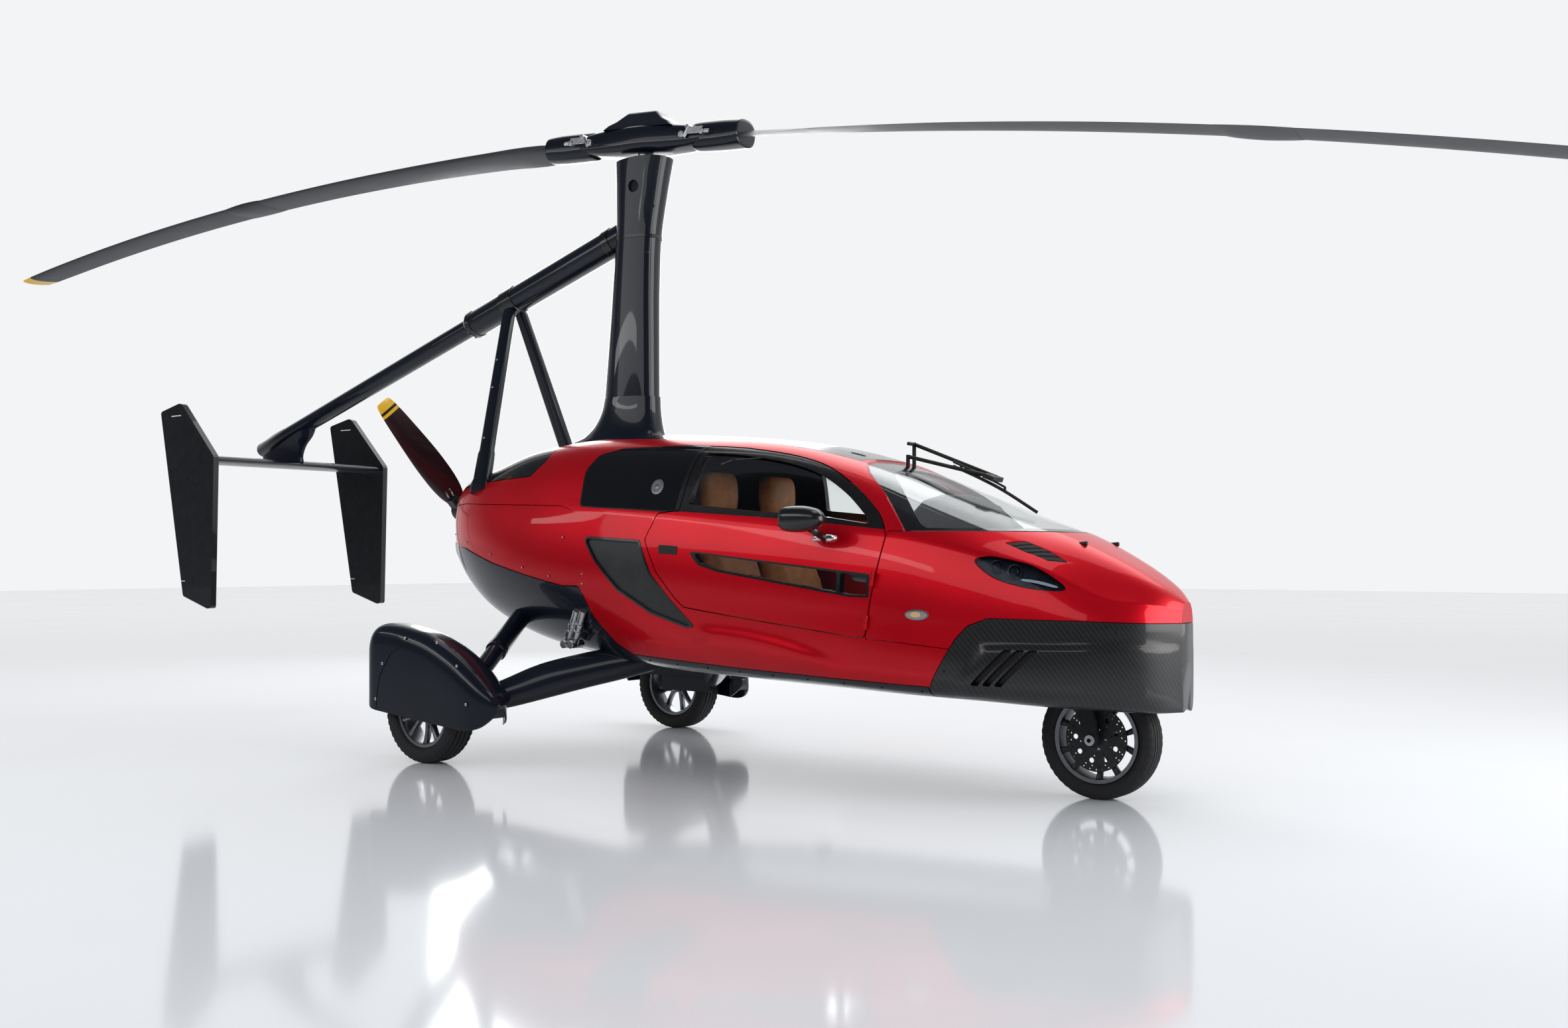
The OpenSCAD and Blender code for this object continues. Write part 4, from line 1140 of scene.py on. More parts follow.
# Rear running gear
def make_arms():
    table = smooth_table([(-300, 820, 490, 86, 66), (-400, 735, 468, 98, 76), (-520, 610, 431, 96, 80),
                          (-640, 490, 388, 88, 80), (-740, 385, 340, 76, 68), (-806, 318, 312, 66, 58)], 5)
    arm = loft([facing_ring("y", y, x, z, a, b, 44, 2.3) for y, x, z, a, b in table])
    bar = box((0.35, 0.02, 0.078), V(141, -801, 260))
    piece("rear_arms", pair(joined(cut(arm, skin(4)), bar)), "body", NAVY, "arms")
    a, b = V(70, -360, 690), V(238, -788, 440)
    l = (b - a).length
    drag = spun(a, b, [(0, 0.046), (l * 0.62, 0.048), (l * 0.63, 0.051), (l * 0.70, 0.051),
                       (l * 0.71, 0.043), (l, 0.043)], 40)
    piece("rear_dampers", pair(cut(drag, skin(2))), "body", NAVY, "dampers")
    silver = []
    for shift in (0, 46):
        top = V(622 + shift, -(side_y(622 + shift, 716) + 16), 716)
        foot = V(520 + shift, -(side_y(600, 700) - 16), 556)
        l = (foot - top).length
        prof = [(0, 0.017), (l * 0.36, 0.017), (l * 0.37, 0.023), (l * 0.46, 0.023), (l * 0.47, 0.019),
                (l * 0.56, 0.019), (l * 0.57, 0.025), (l * 0.76, 0.025), (l * 0.77, 0.019), (l, 0.018)]
        silver.append(spun(top, foot, prof, 32))
        silver.append(rod(foot - Vector((0, 0.03, 0)), foot + Vector((0, 0.05, 0)), 0.02))
    piece("rear_shocks", pair(joined(*silver)), "body", STEEL, (), bevel=0.003)


def make_pods():
    """Wheel covers. Table columns: x, lower edge, top, half width."""
    pod = smooth_table([(-345, 300, 480, 66), (-340, 268, 575, 88), (-322, 248, 622, 98),
                        (-285, 238, 644, 103), (-220, 231, 648, 104), (-109, 220, 637, 104),
                        (59, 204, 601, 104), (222, 189, 532, 104), (341, 178, 456, 99), (410, 190, 396, 82),
                        (455, 222, 350, 58), (480, 258, 312, 32), (489, 280, 298, 14)], 5)

    def pod_ring(x, lo, hi, w):
        """Straight sides with a rounded top."""
        r = min(w, 0.5 * (hi - lo))
        top = [(w * squared(math.cos(a), 0.62), hi - r + r * math.sin(a) ** 0.75)
               for a in np.linspace(0, math.pi, 25)]
        side = [(w, lo + (hi - r - lo) * t) for t in (0, 0.33, 0.67)]
        return [V(x, -895 + y, z) for y, z in side + top + [(-y, z) for y, z in reversed(side)]]

    def pod_mesh(inset, drop):
        return loft([pod_ring(x, lo - drop, hi - inset, max(4, w - inset)) for x, lo, hi, w in pod
                     if not inset or -328 < x < 468])

    shellm = cut(pod_mesh(0, 0), pod_mesh(12, 190), box((1.1, 0.06, 0.3), V(150, -800, 150.3)))
    arch = rounded([(-276, 100), (-262, 300), (-240, 400), (-160, 508), (-20, 568), (140, 566), (272, 492),
                    (334, 382), (348, 180), (348, 100)], [0, 0, 60, 80, 80, 80, 80, 80, 0, 0])
    groove = cut(prism(grown(arch, 5), "y", -1010, -995.5), prism(arch, "y", -1020, -985))
    shellm = cut(shellm, groove)
    piece("wheel_pods", pair(shellm), "body", NAVY, "wheel_covers")
    spots = ((-225, 460), (-60, 585), (165, 572), (300, 470), (362, 300), (-275, 290))
    heads = [screw(V(x, -998, z), (0, -1, 0), 0.007) for x, z in spots]
    piece("pod_screws", pair(joined(*heads)), "body", STEEL, ())


# Wheels
def tyre_mesh(r, w, at, steps=144):
    """Tyre with rounded shoulders, grooves round it and cross cuts at its shoulders."""
    groove, depth = 0.0035, 0.006
    half = [(RIM_R, 0.34 * w), (RIM_R + 0.004, 0.40 * w), (RIM_R + 0.014, 0.455 * w),
            (r - 0.042, 0.497 * w), (r - 0.028, 0.49 * w), (r - 0.016, 0.462 * w), (r - 0.008, 0.42 * w),
            (r - 0.003, 0.36 * w)]
    for c in (0.27, 0.09):
        half += [(r - 0.001, c * w + groove), (r - depth, c * w + groove * 0.7),
                 (r - depth, c * w - groove * 0.7), (r - 0.0005, c * w - groove)]
    profile = half + [(q, -h) for q, h in reversed(half)]
    rings = []
    for k, a in enumerate(circle(steps)):
        ring = []
        for q, h in profile:
            d = 0.0045 if k % 3 == 0 and q > r - 0.018 and abs(h) > 0.3 * w else 0.0
            ring.append(Vector(((q - d) * math.cos(a), h, (q - d) * math.sin(a))) + at)
        rings.append(ring)
    return wheel_of(rings)


def rim_mesh(at, side, pairs, lip=0.05):
    """Barrel with an outer lip, hub and pairs of splayed spokes. side is -1 for a right-hand wheel."""
    barrel = [(RIM_R, -lip), (RIM_R, lip), (RIM_R - 0.004, lip + 0.002), (RIM_R - 0.016, lip),
              (RIM_R - 0.02, lip - 0.012), (RIM_R - 0.022, 0.0), (RIM_R - 0.02, -lip + 0.012),
              (RIM_R - 0.016, -lip), (RIM_R - 0.004, -lip - 0.002)]
    parts = [revolve(barrel, 96, "y")]
    hub = [(0.019, -0.034), (0.019, 0.034), (0.038, 0.034), (0.046, 0.028), (0.05, 0.018), (0.05, -0.03),
           (0.046, -0.034)]
    parts.append(revolve(hub, 64, "y"))
    for k in range(pairs):
        for s in (-1, 1):
            a0 = 2 * math.pi * k / pairs + s * 0.16
            a1 = 2 * math.pi * k / pairs + s * 0.27
            rings = []
            for t in np.linspace(0, 1, 7):
                r = 0.042 + (RIM_R - 0.062) * t
                a = a0 + (a1 - a0) * t
                y = 0.016 + 0.016 * t * t
                w = 0.013 - 0.003 * math.sin(math.pi * t)
                h = 0.014 + 0.004 * (1 - t)
                c = Vector((r * math.cos(a), y, r * math.sin(a)))
                u = Vector((-math.sin(a), 0, math.cos(a)))
                rings.append([c + u * w * squared(math.cos(q), 0.55)
                              + Vector((0, 1, 0)) * h * squared(math.sin(q), 0.55)
                              for q in circle(16)])
            parts.append(loft(rings))
    me = joined(*parts)
    if side < 0:
        me.transform(Matrix.Scale(-1, 4, (0, 1, 0)))
        me.flip_normals()
    me.transform(Matrix.Translation(at))
    return me


def holes(circles, y0, y1):
    """Drills along y: (x, z, radius) in metres."""
    return joined(*[revolve([(0.0, y0), (r, y0), (r, y1), (0.0, y1)], 14, "y", (x, 0, z))
                    for x, z, r in circles])


def make_rear_wheels():
    for name, s in (("right", -1), ("left", 1)):
        at = Vector((0, s * REAR_Y, REAR_R))
        piece("tyre_" + name + "_rubber", tyre_mesh(REAR_R, 0.150, at), "wheel_" + name, RUBBER,
              "tyre_" + name, angle=28)
        piece("rim_" + name + "_alloy", rim_mesh(at, s, 5), "wheel_" + name, ALLOY, "rim_" + name,
              angle=40)


FRONT_AT = Vector((WHEELBASE, 0, FRONT_R))


def make_front_wheel():
    """Tyre, rim and a drilled brake disc."""
    at = FRONT_AT
    piece("tyre_front_rubber", tyre_mesh(FRONT_R, 0.124, at), "front_wheel", RUBBER, "tyre_front",
          angle=28)
    piece("rim_front_alloy", rim_mesh(at, -1, 5), "front_wheel", DARK_ALLOY, "rim_front",
          angle=40)
    lip = revolve([(RIM_R - 0.001, -0.0525), (RIM_R - 0.001, -0.049), (RIM_R - 0.016, -0.049),
                   (RIM_R - 0.016, -0.052)], 96, "y", at)
    piece("rim_front_lip", lip, "front_wheel", ALLOY, ())
    ring = revolve([(0.052, -0.048), (0.130, -0.048), (0.131, -0.046), (0.130, -0.043), (0.052, -0.043)],
                   96, "y")
    drilled = []
    for r, n, q, d in ((0.122, 28, 0.0, 0.003), (0.108, 24, 0.1, 0.003), (0.068, 10, 0.2, 0.003)):
        drilled += [(r * math.cos(a), r * math.sin(a), d) for a in circle(n, q)]
    drilled += [(0.088 * math.cos(a), 0.088 * math.sin(a), 0.0105) for a in circle(9, 0.3)]
    disc = cut(ring, holes(drilled, -0.06, -0.03))
    carrier = revolve([(0.0145, -0.052), (0.03, -0.052), (0.056, -0.047), (0.056, -0.042),
                       (0.0145, -0.033)], 64, "y")
    bolts = [screw((0.04 * math.cos(a), -0.05, 0.04 * math.sin(a)), (0, -1, 0), 0.006, 0.004)
             for a in circle(5)]
    for name, part, mat in (("brake_disc", disc, DARK_ALLOY), ("brake_carrier", carrier, DARK_ALLOY),
                            ("brake_bolts", joined(*bolts), STEEL)):
        part.transform(Matrix.Translation(at))
        piece(name, part, "front_wheel", mat, ())


def make_fork():
    """Fork with the hollow axle, leaning back by the caster angle."""
    steer = Matrix.Translation(FRONT_AT) @ Matrix.Rotation(-CASTER, 4, "Y")
    outline = [(30 * math.cos(a), 30 * math.sin(a)) for a in np.linspace(math.pi, 2 * math.pi, 15)]
    outline += [(38, 300), (-38, 300)]
    legs = [prism(outline, "y", s * 88 - 11, s * 88 + 11) for s in (-1, 1)]
    crown = box((0.11, 0.198, 0.034), V(0, 0, 305))
    fork = joined(*legs, crown)
    fork.transform(steer)
    piece("fork_legs", fork, "steering", SATIN_BLACK, "fork", bevel=0.004)
    stem = rod(V(0, 0, 300), V(0, 0, 520), 0.024)
    axle = revolve([(0.009, -0.116), (0.0135, -0.116), (0.014, -0.114), (0.014, 0.114), (0.0135, 0.116),
                    (0.009, 0.116)], 40, "y")
    nuts = [revolve([(0.0142, s * 0.1), (0.023, s * 0.1), (0.024, s * 0.104), (0.021, s * 0.112),
                     (0.0142, s * 0.112)], 40, "y")
            for s in (-1, 1)]
    metal = joined(stem, axle, *nuts)
    metal.transform(steer)
    piece("fork_axle", metal, "steering", STEEL, ())


# Rotor and propeller
ROTOR = Matrix.Translation(HUB) @ Matrix.Rotation(TILT, 4, "Y") @ Matrix.Rotation(TURN, 4, "Z")


def droop(r):
    return 580 * (r / 5375) ** 2


def blade_ring(r, chord, thick, twist, lift=0.0):
    """Blade section in the rotor's own frame: nose towards +y for the blade that points to +x."""
    c, s = math.cos(math.radians(twist)), math.sin(math.radians(twist))
    ring = []
    for u, h in aerofoil(14, thick / chord):
        y, z = (0.36 - u) * chord, h * chord
        ring.append(V(r, y * c - z * s, -20 - droop(r) + lift + y * s + z * c))
    return ring


def make_rotor_head():
    end = [(452, 34, -46, -6, 3.0), (420, 62, -56, 14, 3.2), (300, 78, -78, 32, 3.4),
           (150, 96, -88, 46, 3.4)]
    head = smooth_table([(-x, *r) for x, *r in end] + [(0, 106, -90, 52, 3.4)] + end[::-1], 4)
    core = loft([facing_ring("x", x, 0, (lo + hi) / 2, w, (hi - lo) / 2, 48, p)
                 for x, w, lo, hi, p in head])
    cap = loft([[V(x, y, z) for x, y in rounded([(-a, -b), (a, -b), (a, b), (-a, b)], 18)]
                for z, a, b in ((30, 215, 92), (52, 190, 82), (70, 150, 72), (104, 102, 56), (114, 94, 50),
                                (117, 84, 42))])
    for name, part, mat, nodes in (("rotor_head_fairing", core, NAVY, "rotor_head"),
                                   ("rotor_head_cap", cap, NAVY, ())):
        part.transform(ROTOR)
        piece(name, part, "rotor", mat, nodes, angle=50)


def make_rotor_blades():
    """Cuffs with their links, inner and outer blades, and the sleeves over the folds."""
    cuffs, links, inner, outer, sleeves = [], [], [], [], []
    for turn in (0, math.pi):
        m = ROTOR @ Matrix.Rotation(turn, 4, "Z")
        cuff = smooth_table([(322, 58, 60, 2.4), (334, 66, 68, 2.5), (470, 74, 70, 2.6), (588, 80, 66, 2.5),
                             (606, 78, 62, 2.4), (609, 60, 46, 2.3)], 5)
        me = loft([facing_ring("x", x, -18 * max(0, x - 420) / 380, -20 - droop(x), a, b, 44, p)
                   for x, a, b, p in cuff])
        me.transform(m)
        cuffs.append(me)
        for s in (-1, 1):
            parts = [rod(V(300, s * 84, -14), V(452, s * 96, -22), 0.009, 16),
                     rod(V(330, s * 70, 4), V(330, s * 112, 4), 0.012, 16),
                     rod(V(300, s * 92, -40), V(330, s * 92, 10), 0.010, 16),
                     box((0.09, 0.014, 0.032), V(366, s * 94, -12)),
                     rod(V(408, s * 60, -22), V(408, s * 108, -22), 0.013, 16),
                     rod(V(286, s * 80, -26), V(286, s * 104, -26), 0.015, 16)]
            for q in parts:
                q.transform(m)
            links += parts
        twist = ([560, 640, 1000, 1700, 2400, 3012, 3700, 4400, 5050, 5375],
                 [20, 20, 10, 6, 4, 3, 2, 1, 0, 0])
        size = ([560, 640, 800, 1000, 5050, 5300, 5375], [0.66, 0.8, 0.96, 1, 0.98, 0.93, 0.86])
        for store, lo, hi, n in ((inner, 560, 3013, 26), (outer, 3027, 5375, 26)):
            rings = [blade_ring(r, 215 * np.interp(r, *size), 26, np.interp(r, *twist))
                     for r in np.linspace(lo, hi, n)]
            me = loft(rings)
            if store is outer:
                paint_faces(me, 1, lambda p: p.x > 5.30)
            me.transform(m)
            store.append(me)
        fold = [(2880, 216, 28), (2930, 222, 40), (3000, 226, 46), (3060, 226, 46), (3130, 222, 38),
                (3180, 216, 28)]
        me = loft([blade_ring(r, c, t, np.interp(r, *twist)) for r, c, t in smooth_table(fold, 4)])
        me.transform(m)
        sleeves.append(me)
    piece("blade_cuffs", joined(*cuffs), "rotor", NAVY, ())
    piece("rotor_links", joined(*links), "rotor", STEEL, (), bevel=0.002)
    piece("blades_inner_skin", joined(*inner), "rotor", BLADE, "blades_inner")
    piece("blades_outer_skin", joined(*outer), "rotor", [BLADE, YELLOW], "blades_outer")
    piece("blade_fold_sleeves", joined(*sleeves), "rotor", BLADE, ())


PROP_AT = V(-800, 0, 1227)


def make_propeller():
    base = Matrix.Translation(PROP_AT) @ Matrix.Rotation(math.radians(45), 4, "X")
    table = [(0.085, 92, 50, 30), (0.16, 128, 44, 24), (0.27, 148, 38, 20), (0.42, 152, 31, 17),
             (0.55, 146, 26, 15), (0.72, 130, 22, 13), (0.87, 112, 20, 11), (0.97, 92, 18, 9),
             (1.0, 70, 18, 7)]
    blades, plates = [], []
    for turn in (0, math.pi):
        m = base @ Matrix.Rotation(turn, 4, "X")
        rings = []
        for f, chord, pitch, thick in smooth_table(table, 5):
            p = math.radians(pitch)
            rings.append([V((u - 0.45) * chord * math.sin(p) + h * chord * math.cos(p),
                            (u - 0.45) * chord * math.cos(p) - h * chord * math.sin(p), f * 774)
                          for u, h in aerofoil(12, thick / chord)])
        me = loft(rings)
        paint_faces(me, 1, lambda q: q.z > 0.945 * 0.774 or 0.885 * 0.774 < q.z < 0.917 * 0.774)
        me.transform(m)
        blades.append(me)
        for s in (-1, 1):
            face = m @ Matrix.Translation(V(0, 0, 128)) @ Matrix.Rotation(math.radians(-46), 4, "Z")
            lobes = []
            thirds = circle(3, math.pi / 2)
            for a in thirds:
                lobes += [(30 * math.cos(a + d), 30 * math.sin(a + d)) for d in (-0.42, 0, 0.42)]
                b = a + math.pi / 3
                lobes.append((15 * math.cos(b), 15 * math.sin(b)))
            plate = prism(rounded(lobes, 9), "y", s * 14 - 4, s * 14 + 4)
            drill = joined(*[revolve([(0, -0.03), (0.005, -0.03), (0.005, 0.03), (0, 0.03)], 16, "y",
                                     V(23 * math.cos(a), 0, 23 * math.sin(a))) for a in thirds])
            plate = cut(plate, drill)
            plate.transform(face)
            plates.append(plate)
    piece("prop_blade_skins", joined(*blades), "propeller", [PROP, YELLOW], "prop_blades")
    piece("prop_root_plates", joined(*plates), "propeller", ALLOY, (), bevel=0.0015)
    hub = revolve([(0.0, -0.036), (0.04, -0.036), (0.056, -0.03), (0.058, -0.024), (0.058, 0.03),
                   (0.05, 0.035), (0.027, 0.035), (0.027, 0.0), (0.0, 0.0)], 56, "x")
    block = box((0.05, 0.074, 0.2))
    yoke = joined(hub, block, rod(V(-36, 0, 74), V(36, 0, 74), 0.016),
                  rod(V(-36, 0, -74), V(36, 0, -74), 0.016))
    yoke.transform(base)
    piece("prop_yoke", yoke, "propeller", DARK_ALLOY, "prop_hub", bevel=0.004)


# Cabin
def cushion(name, me, cap=0.016):
    """Leather cushion: the shape is blown up as stuffed cloth, and no point moves further than the cap."""
    o = bpy.data.objects.new(name, me)
    bpy.context.collection.objects.link(o)
    r = o.modifiers.new("remesh", "REMESH")
    r.mode = "VOXEL"
    r.voxel_size = 0.014
    deps = bpy.context.evaluated_depsgraph_get()
    base = bpy.data.meshes.new_from_object(o.evaluated_get(deps))
    o.modifiers.clear()
    o.data = base
    start = np.array([v.co[:] for v in base.vertices])
    c = o.modifiers.new("cloth", "CLOTH")
    c.settings.use_pressure = True
    c.settings.uniform_pressure_force = 4
    c.settings.effector_weights.gravity = 0
    c.settings.quality = 4
    scene = bpy.context.scene
    for f in range(1, 16):
        scene.frame_set(f)
    deps = bpy.context.evaluated_depsgraph_get()
    blown = o.evaluated_get(deps).to_mesh()
    move = np.array([v.co[:] for v in blown.vertices]) - start
    far = np.linalg.norm(move, axis=1, keepdims=True)
    start += move * np.minimum(1, cap / np.maximum(far, 1e-9))
    o.modifiers.clear()
    scene.frame_set(1)
    for v, co in zip(base.vertices, start):
        v.co = co
    me = o.data
    bpy.data.objects.remove(o)
    out = piece(name, me, "body", LEATHER, (), angle=0, subdiv=1)
    return out


def pillow(rings, power=3.0, n=40):
    """Closed form through level rings: (z, x, y, half length, half width) in millimetres."""
    return loft([level_ring(x, y, z, a, b, n, power) for z, x, y, a, b in smooth_table(rings, 4)])


# Seats. Table columns: z, x, half length, half width. The photo shows them further forward than the solids.
SEAT_FORE = 235
SEAT_BASE = [(585, 1345, 235, 185), (600, 1345, 250, 198), (640, 1345, 255, 200), (668, 1348, 240, 190),
             (676, 1350, 200, 160)]
SEAT_BACK = [(640, 1095, 52, 195), (700, 1080, 60, 205), (880, 1035, 62, 205), (1050, 990, 55, 190),
             (1135, 965, 42, 165), (1150, 960, 24, 130)]
HEADREST = [(1168, 968, 34, 86), (1185, 966, 48, 104), (1260, 964, 54, 112), (1330, 962, 48, 104),
            (1352, 962, 30, 80)]
SEAT_PAN = [(470, 1330, 190, 150), (480, 1330, 200, 160), (585, 1335, 220, 172), (592, 1335, 215, 168)]


def seat_form(table, y, power):
    return pillow([(z, x + SEAT_FORE, y, a, b) for z, x, a, b in table], power)


def make_seats():
    for name, s in (("right", -1), ("left", 1)):
        y, head_y = s * 235, s * 225
        seat = cushion("seat_base_" + name, seat_form(SEAT_BASE, y, 4.0))
        cushion("seat_back_" + name, seat_form(SEAT_BACK, y, 3.6))
        cushion("headrest_" + name, seat_form(HEADREST, head_y, 3.4))
        if name == "right":
            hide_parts("seats")
        posts = [rod(V(962 + SEAT_FORE, head_y + d, 1110), V(964 + SEAT_FORE, head_y + d, 1200), 0.007, 16)
                 for d in (-40, 40)]
        piece("headrest_posts_" + name, joined(*posts), "body", STEEL, ())
        piece("seat_pan_" + name, seat_form(SEAT_PAN, y, 5.0), "body", TRIM, ())


def make_dash():
    outline = rounded([(2340, 1058), (2290, 1096), (2200, 1116), (2112, 1096), (2066, 1030), (2062, 950),
                       (2140, 868), (2340, 842)],
                      [4, 40, 60, 50, 40, 30, 30, 4])
    me = keep(skin(44), across(outline))
    column = rod(V(1950, 240, 1000), V(2150, 240, 926), 0.021)
    piece("dash_top", cut(me, column), "body", DASH, "dash", angle=40)
    screen = box((0.012, 0.17, 0.10), V(2052, 190, 1010), Matrix.Rotation(math.radians(-20), 4, "Y"))
    screen2 = box((0.012, 0.20, 0.10), V(2056, -60, 1010), Matrix.Rotation(math.radians(-20), 4, "Y"))
    piece("dash_screens", joined(screen, screen2), "body", DARK_GLASS, (), bevel=0.003)


def make_steering_wheel():
    turn = Matrix.Translation(V(1950, 240, 1000)) @ Matrix.Rotation(math.radians(110), 4, "Y")
    rimw = revolve([(0.165 + 0.0135 * math.cos(q), 0.0135 * math.sin(q)) for q in circle(16)], 64, "z")
    boss = revolve([(0.0, -0.012), (0.04, -0.012), (0.05, -0.004), (0.05, 0.018), (0.0, 0.018)], 48, "z")
    spokes = [box((0.125, 0.03, 0.011), (0.1025, 0, 0)), box((0.03, 0.125, 0.011), (0, 0.1025, 0)),
              box((0.125, 0.03, 0.011), (-0.1025, 0, 0))]
    col = rod((0, 0, 0), (0, 0, 0.2), 0.019)
    for q, name, mat, nodes in ((rimw, "wheel_grip", LEATHER, "steering_wheel"),
                                (joined(boss, *spokes, col), "wheel_spokes", TRIM, ())):
        q.transform(turn)
        piece(name, q, "body", mat, nodes)


# Fittings on the body and doors
COVER_SCREWS = ((528, 1057), (671, 888), (666, 842), (-46, 978), (-300, 1040), (230, 915), (430, 875),
                (-500, 1085))
CHIN_SCREWS = ((2700, 690), (2850, 690), (3030, 686), (3180, 680), (2560, 520), (2620, 610))


def make_panel_screws():
    heads, dark = [], []
    for x, z in COVER_SCREWS:
        heads.append(screw(on_side(x, z, 0.5), skin_normal(x, z), 0.005))
    for k in range(9):
        x = 1000 + k * 180
        z = 497 - (x - 926) * 0.043
        dark.append(screw(on_side(x, z, 0.5), skin_normal(x, z), 0.0055))
    for x, z in CHIN_SCREWS:
        dark.append(screw(on_side(x, z, 0.5), skin_normal(x, z), 0.006))
    piece("panel_screws", pair(joined(*heads)), "body", STEEL, ())
    piece("fairing_screws", pair(joined(*dark)), "body", SATIN_BLACK, ())


def make_mirrors():
    head = smooth_table([(1924, 50, 40, 2.6), (1932, 60, 49, 2.6), (1975, 67, 54, 2.4), (2035, 62, 50, 2.3),
                         (2082, 44, 36, 2.2), (2104, 18, 15, 2.0)], 4)
    shellm = loft([facing_ring("x", x, -690, 1117, a, b, 44, p) for x, a, b, p in head])
    glassm = loft([facing_ring("x", x, -690, 1117, a, b, 44, 2.6)
                   for x, a, b in ((1922.5, 44, 35), (1924.5, 46, 36))])
    stalk = tube([V(2030, -664, 1078), V(2040, -630, 1058), V(2030, -580, 1044), V(2018, -545, 1038)],
                 [0.017, 0.014, 0.014, 0.02], 20)
    foot = [facing_ring("y", y, 2016, 1040, a, b, 36, 2.4)
            for y, a, b in ((-568, 30, 10), (-562, 50, 15), (-548, 60, 19), (-530, 62, 20))]
    foot = cut(loft(foot), skin(2))
    for name, s in (("right", 1), ("left", -1)):
        def side(me):
            return me.copy() if s > 0 else mirrored(me)
        piece("mirror_shell_" + name, joined(side(shellm), side(stalk)), "door_" + name, GLOSS_BLACK,
              "mirror_" + name)
        piece("mirror_glass_" + name, side(glassm), "door_" + name, CHROME, ())
        piece("mirror_foot_" + name, side(foot), "door_" + name, CHROME, ())


def make_wiper():
    """Two arms on posts with a blade, and the washer jets."""
    parts = []
    for y, z in ((40, 1405), (92, 1462)):
        parts.append(rod(V(2054, y, 1352), V(2054, y, z + 8), 0.009, 16))
        parts.append(rod(V(2054, y, z), V(2494, y - 60, 1300), 0.0085, 16))
    parts.append(rod(V(2054, 40, 1462), V(2054, 92, 1462), 0.008, 16))
    parts.append(box((0.05, 0.09, 0.02), V(2492, 6, 1296), Matrix.Rotation(math.radians(22), 4, "Y")))
    blade = [V(2300, 10, 1352), V(2430, -4, 1298), V(2560, -18, 1236), V(2715, -34, 1146)]
    parts.append(tube(blade, 0.007, 12))
    parts.append(tube([p + Vector((0, 0, 0.018)) for p in blade[:3]], 0.005, 12))
    for p in (blade[0] + (blade[1] - blade[0]) * 0.3, blade[1], blade[2]):
        parts.append(rod(p, p + Vector((0, 0, 0.02)), 0.006, 12))
    piece("wiper_linkage", joined(*parts), "body", SATIN_BLACK, "wiper")
    jets = []
    for y in (-150, 150):
        z = top_z(2965, y)
        jets.append(rod(V(2950, y, z - 4), V(2990, y, top_z(2990, y) + 12), 0.009, 16))
    piece("washer_jets", joined(*jets), "body", SATIN_BLACK, ())


def make_caps():
    """A round cap on each quarter window and a grip in the roof."""
    at, out = on_side(1090, 1278, 0), skin_normal(1090, 1278)
    profile = [(0, 0.036), (0.008, 0.036), (0.010, 0.034), (0.0105, 0.029), (0.0095, 0.028),
               (0.0095, 0.012), (0.012, 0.011), (0.0125, 0.009)]
    cap = spun(at - out * 0.006, at + out, profile, 48)
    piece("quarter_caps", pair(cap), "body", ALLOY, ())
    grip = rounded([(1868, -108), (1932, -102), (1932, -128), (1868, -136)], 8)
    tray = cut(keep(shell(-2, 4), prism(grip, "z", 1300, 1600)), prism(grown(grip, -5), "z", 1200, 1700))
    panel("roof_grip", tray, "body", SATIN_BLACK, ())


def repaint(names, mat):
    for n in names:
        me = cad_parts[n].data
        me.materials.clear()
        me.materials.append(mat)


make_mast()
make_boom()
make_struts()
make_tail()
make_arms()
make_pods()
make_rear_wheels()
make_front_wheel()
make_fork()
make_rotor_head()
make_rotor_blades()
make_propeller()
make_seats()
make_dash()
make_steering_wheel()
make_panel_screws()
make_mirrors()
make_wiper()
make_caps()
repaint(("bulkhead", "front_frame"), TRIM)
repaint(("engine", "axles", "steering_head"), DARK_ALLOY)
repaint(("hinge_pins", "hinge_right", "hinge_left"), RED)


# Camera, floor and light
def stage_light(name, width, height, at, target, power):
    light = bpy.data.lights.new(name, "AREA")
    light.shape = "RECTANGLE"
    light.size = width
    light.size_y = height
    light.energy = power
    o = bpy.data.objects.new(name, light)
    o.location = at
    o.rotation_euler = (Vector(target) - Vector(at)).to_track_quat("-Z", "Y").to_euler()
    bpy.context.collection.objects.link(o)


# The photo's width, focal length and upward shift in pixels, from the fitted camera
PHOTO_W = 2364
PHOTO_FOCAL = 2208
PHOTO_SHIFT = 68
SENSOR = 36
CAMERA_AT = (5.434 - OX, -5.451, 0.955)
CAMERA_AIM = (-0.5942, 0.8043, 0)
FLOOR_HALF = 40

camera = bpy.data.cameras.new("camera")
camera.sensor_width = SENSOR
camera.lens = SENSOR * PHOTO_FOCAL / PHOTO_W
camera.shift_y = PHOTO_SHIFT / PHOTO_W
eye = bpy.data.objects.new("camera", camera)
bpy.context.collection.objects.link(eye)
eye.location = CAMERA_AT
eye.rotation_euler = Vector(CAMERA_AIM).to_track_quat("-Z", "Y").to_euler()
bpy.context.scene.camera = eye

corners = [(-1, -1), (1, -1), (1, 1), (-1, 1)]
floor_mesh = mesh([(FLOOR_HALF * x, FLOOR_HALF * y, 0) for x, y in corners], [(0, 1, 2, 3)])
floor = bpy.data.objects.new("floor", floor_mesh)
bpy.context.collection.objects.link(floor)
floor.data.materials.append(surface("floor_pale", (0.62, 0.64, 0.665), 0.09, vary=0.015, grain=0.7,
                                    rough_vary=0.02, spec=0.35))


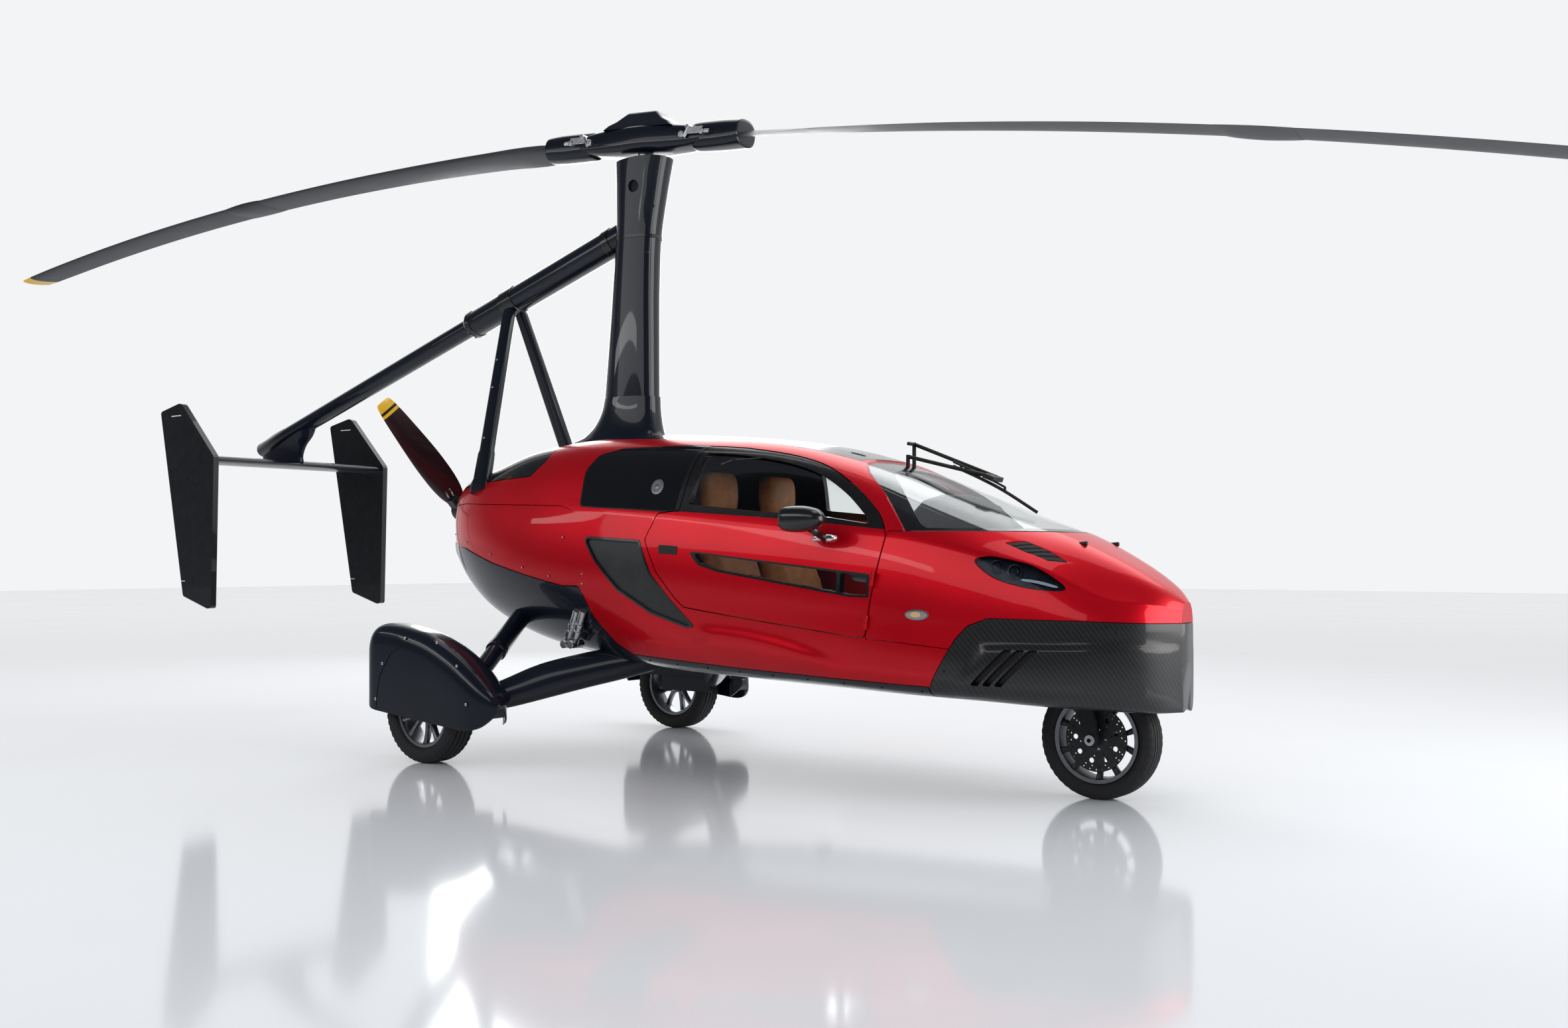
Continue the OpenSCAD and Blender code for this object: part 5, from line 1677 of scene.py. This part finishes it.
def make_world():
    """A soft sky for the light, and for what is seen a pale backdrop that falls off to dark."""
    world = bpy.data.worlds.new("studio")
    bpy.context.scene.world = world
    world.use_nodes = True
    tree = world.node_tree
    sky = tree.nodes["Background"]
    coord = tree.nodes.new("ShaderNodeTexCoord")
    sep = tree.nodes.new("ShaderNodeSeparateXYZ")
    tree.links.new(coord.outputs["Generated"], sep.inputs["Vector"])
    high = two_colours(tree, sep.outputs["Z"], (0.50, 0.50, 0.51), (0.72, 0.73, 0.75), (0.0, 0.6))
    tree.links.new(high, sky.inputs["Color"])
    side = tree.nodes.new("ShaderNodeVectorMath")
    side.operation = "DOT_PRODUCT"
    side.inputs[1].default_value = (0.06, -0.7, 0.71)
    tree.links.new(coord.outputs["Generated"], side.inputs[0])
    wall = two_colours(tree, side.outputs["Value"], (0.90, 0.905, 0.915), (0.07, 0.075, 0.09), (0.0, 0.3))
    shown = tree.nodes.new("ShaderNodeBackground")
    tree.links.new(wall, shown.inputs["Color"])
    path = tree.nodes.new("ShaderNodeLightPath")
    seen = path.outputs["Is Camera Ray"]
    for name in ("Is Glossy Ray", "Is Transmission Ray"):
        most = tree.nodes.new("ShaderNodeMath")
        most.operation = "MAXIMUM"
        tree.links.new(seen, most.inputs[0])
        tree.links.new(path.outputs[name], most.inputs[1])
        seen = most.outputs[0]
    mix = tree.nodes.new("ShaderNodeMixShader")
    tree.links.new(seen, mix.inputs["Fac"])
    tree.links.new(sky.outputs["Background"], mix.inputs[1])
    tree.links.new(shown.outputs["Background"], mix.inputs[2])
    tree.links.new(mix.outputs["Shader"], tree.nodes["World Output"].inputs["Surface"])


make_world()
# Name, width and height in metres, place, aim and watts
STAGE_LIGHTS = [("key", 13.0, 1.8, (0.0, -6.0, 3.5), (0.0, 0, 0.9), 130),
                ("strip", 7.0, 0.22, (-2.2, -4.6, 2.9), (-0.5, 0, 1.1), 22),
                ("top", 8.0, 5.0, (0.3, 2.9, 6.0), (0.8, 0, 0.8), 210),
                ("bonnet", 1.6, 1.6, (2.9, -0.2, 4.6), (2.7, -0.2, 1.0), 18),
                ("rear", 4.0, 3.0, (-4.5, 5.0, 3.5), (0, 0, 1.0), 200),
                ("front", 5.0, 3.0, (6.8, 1.6, 2.0), (1.5, 0, 1.2), 210)]
for row in STAGE_LIGHTS:
    stage_light(*row)

bpy.context.scene.view_settings.view_transform = "Standard"
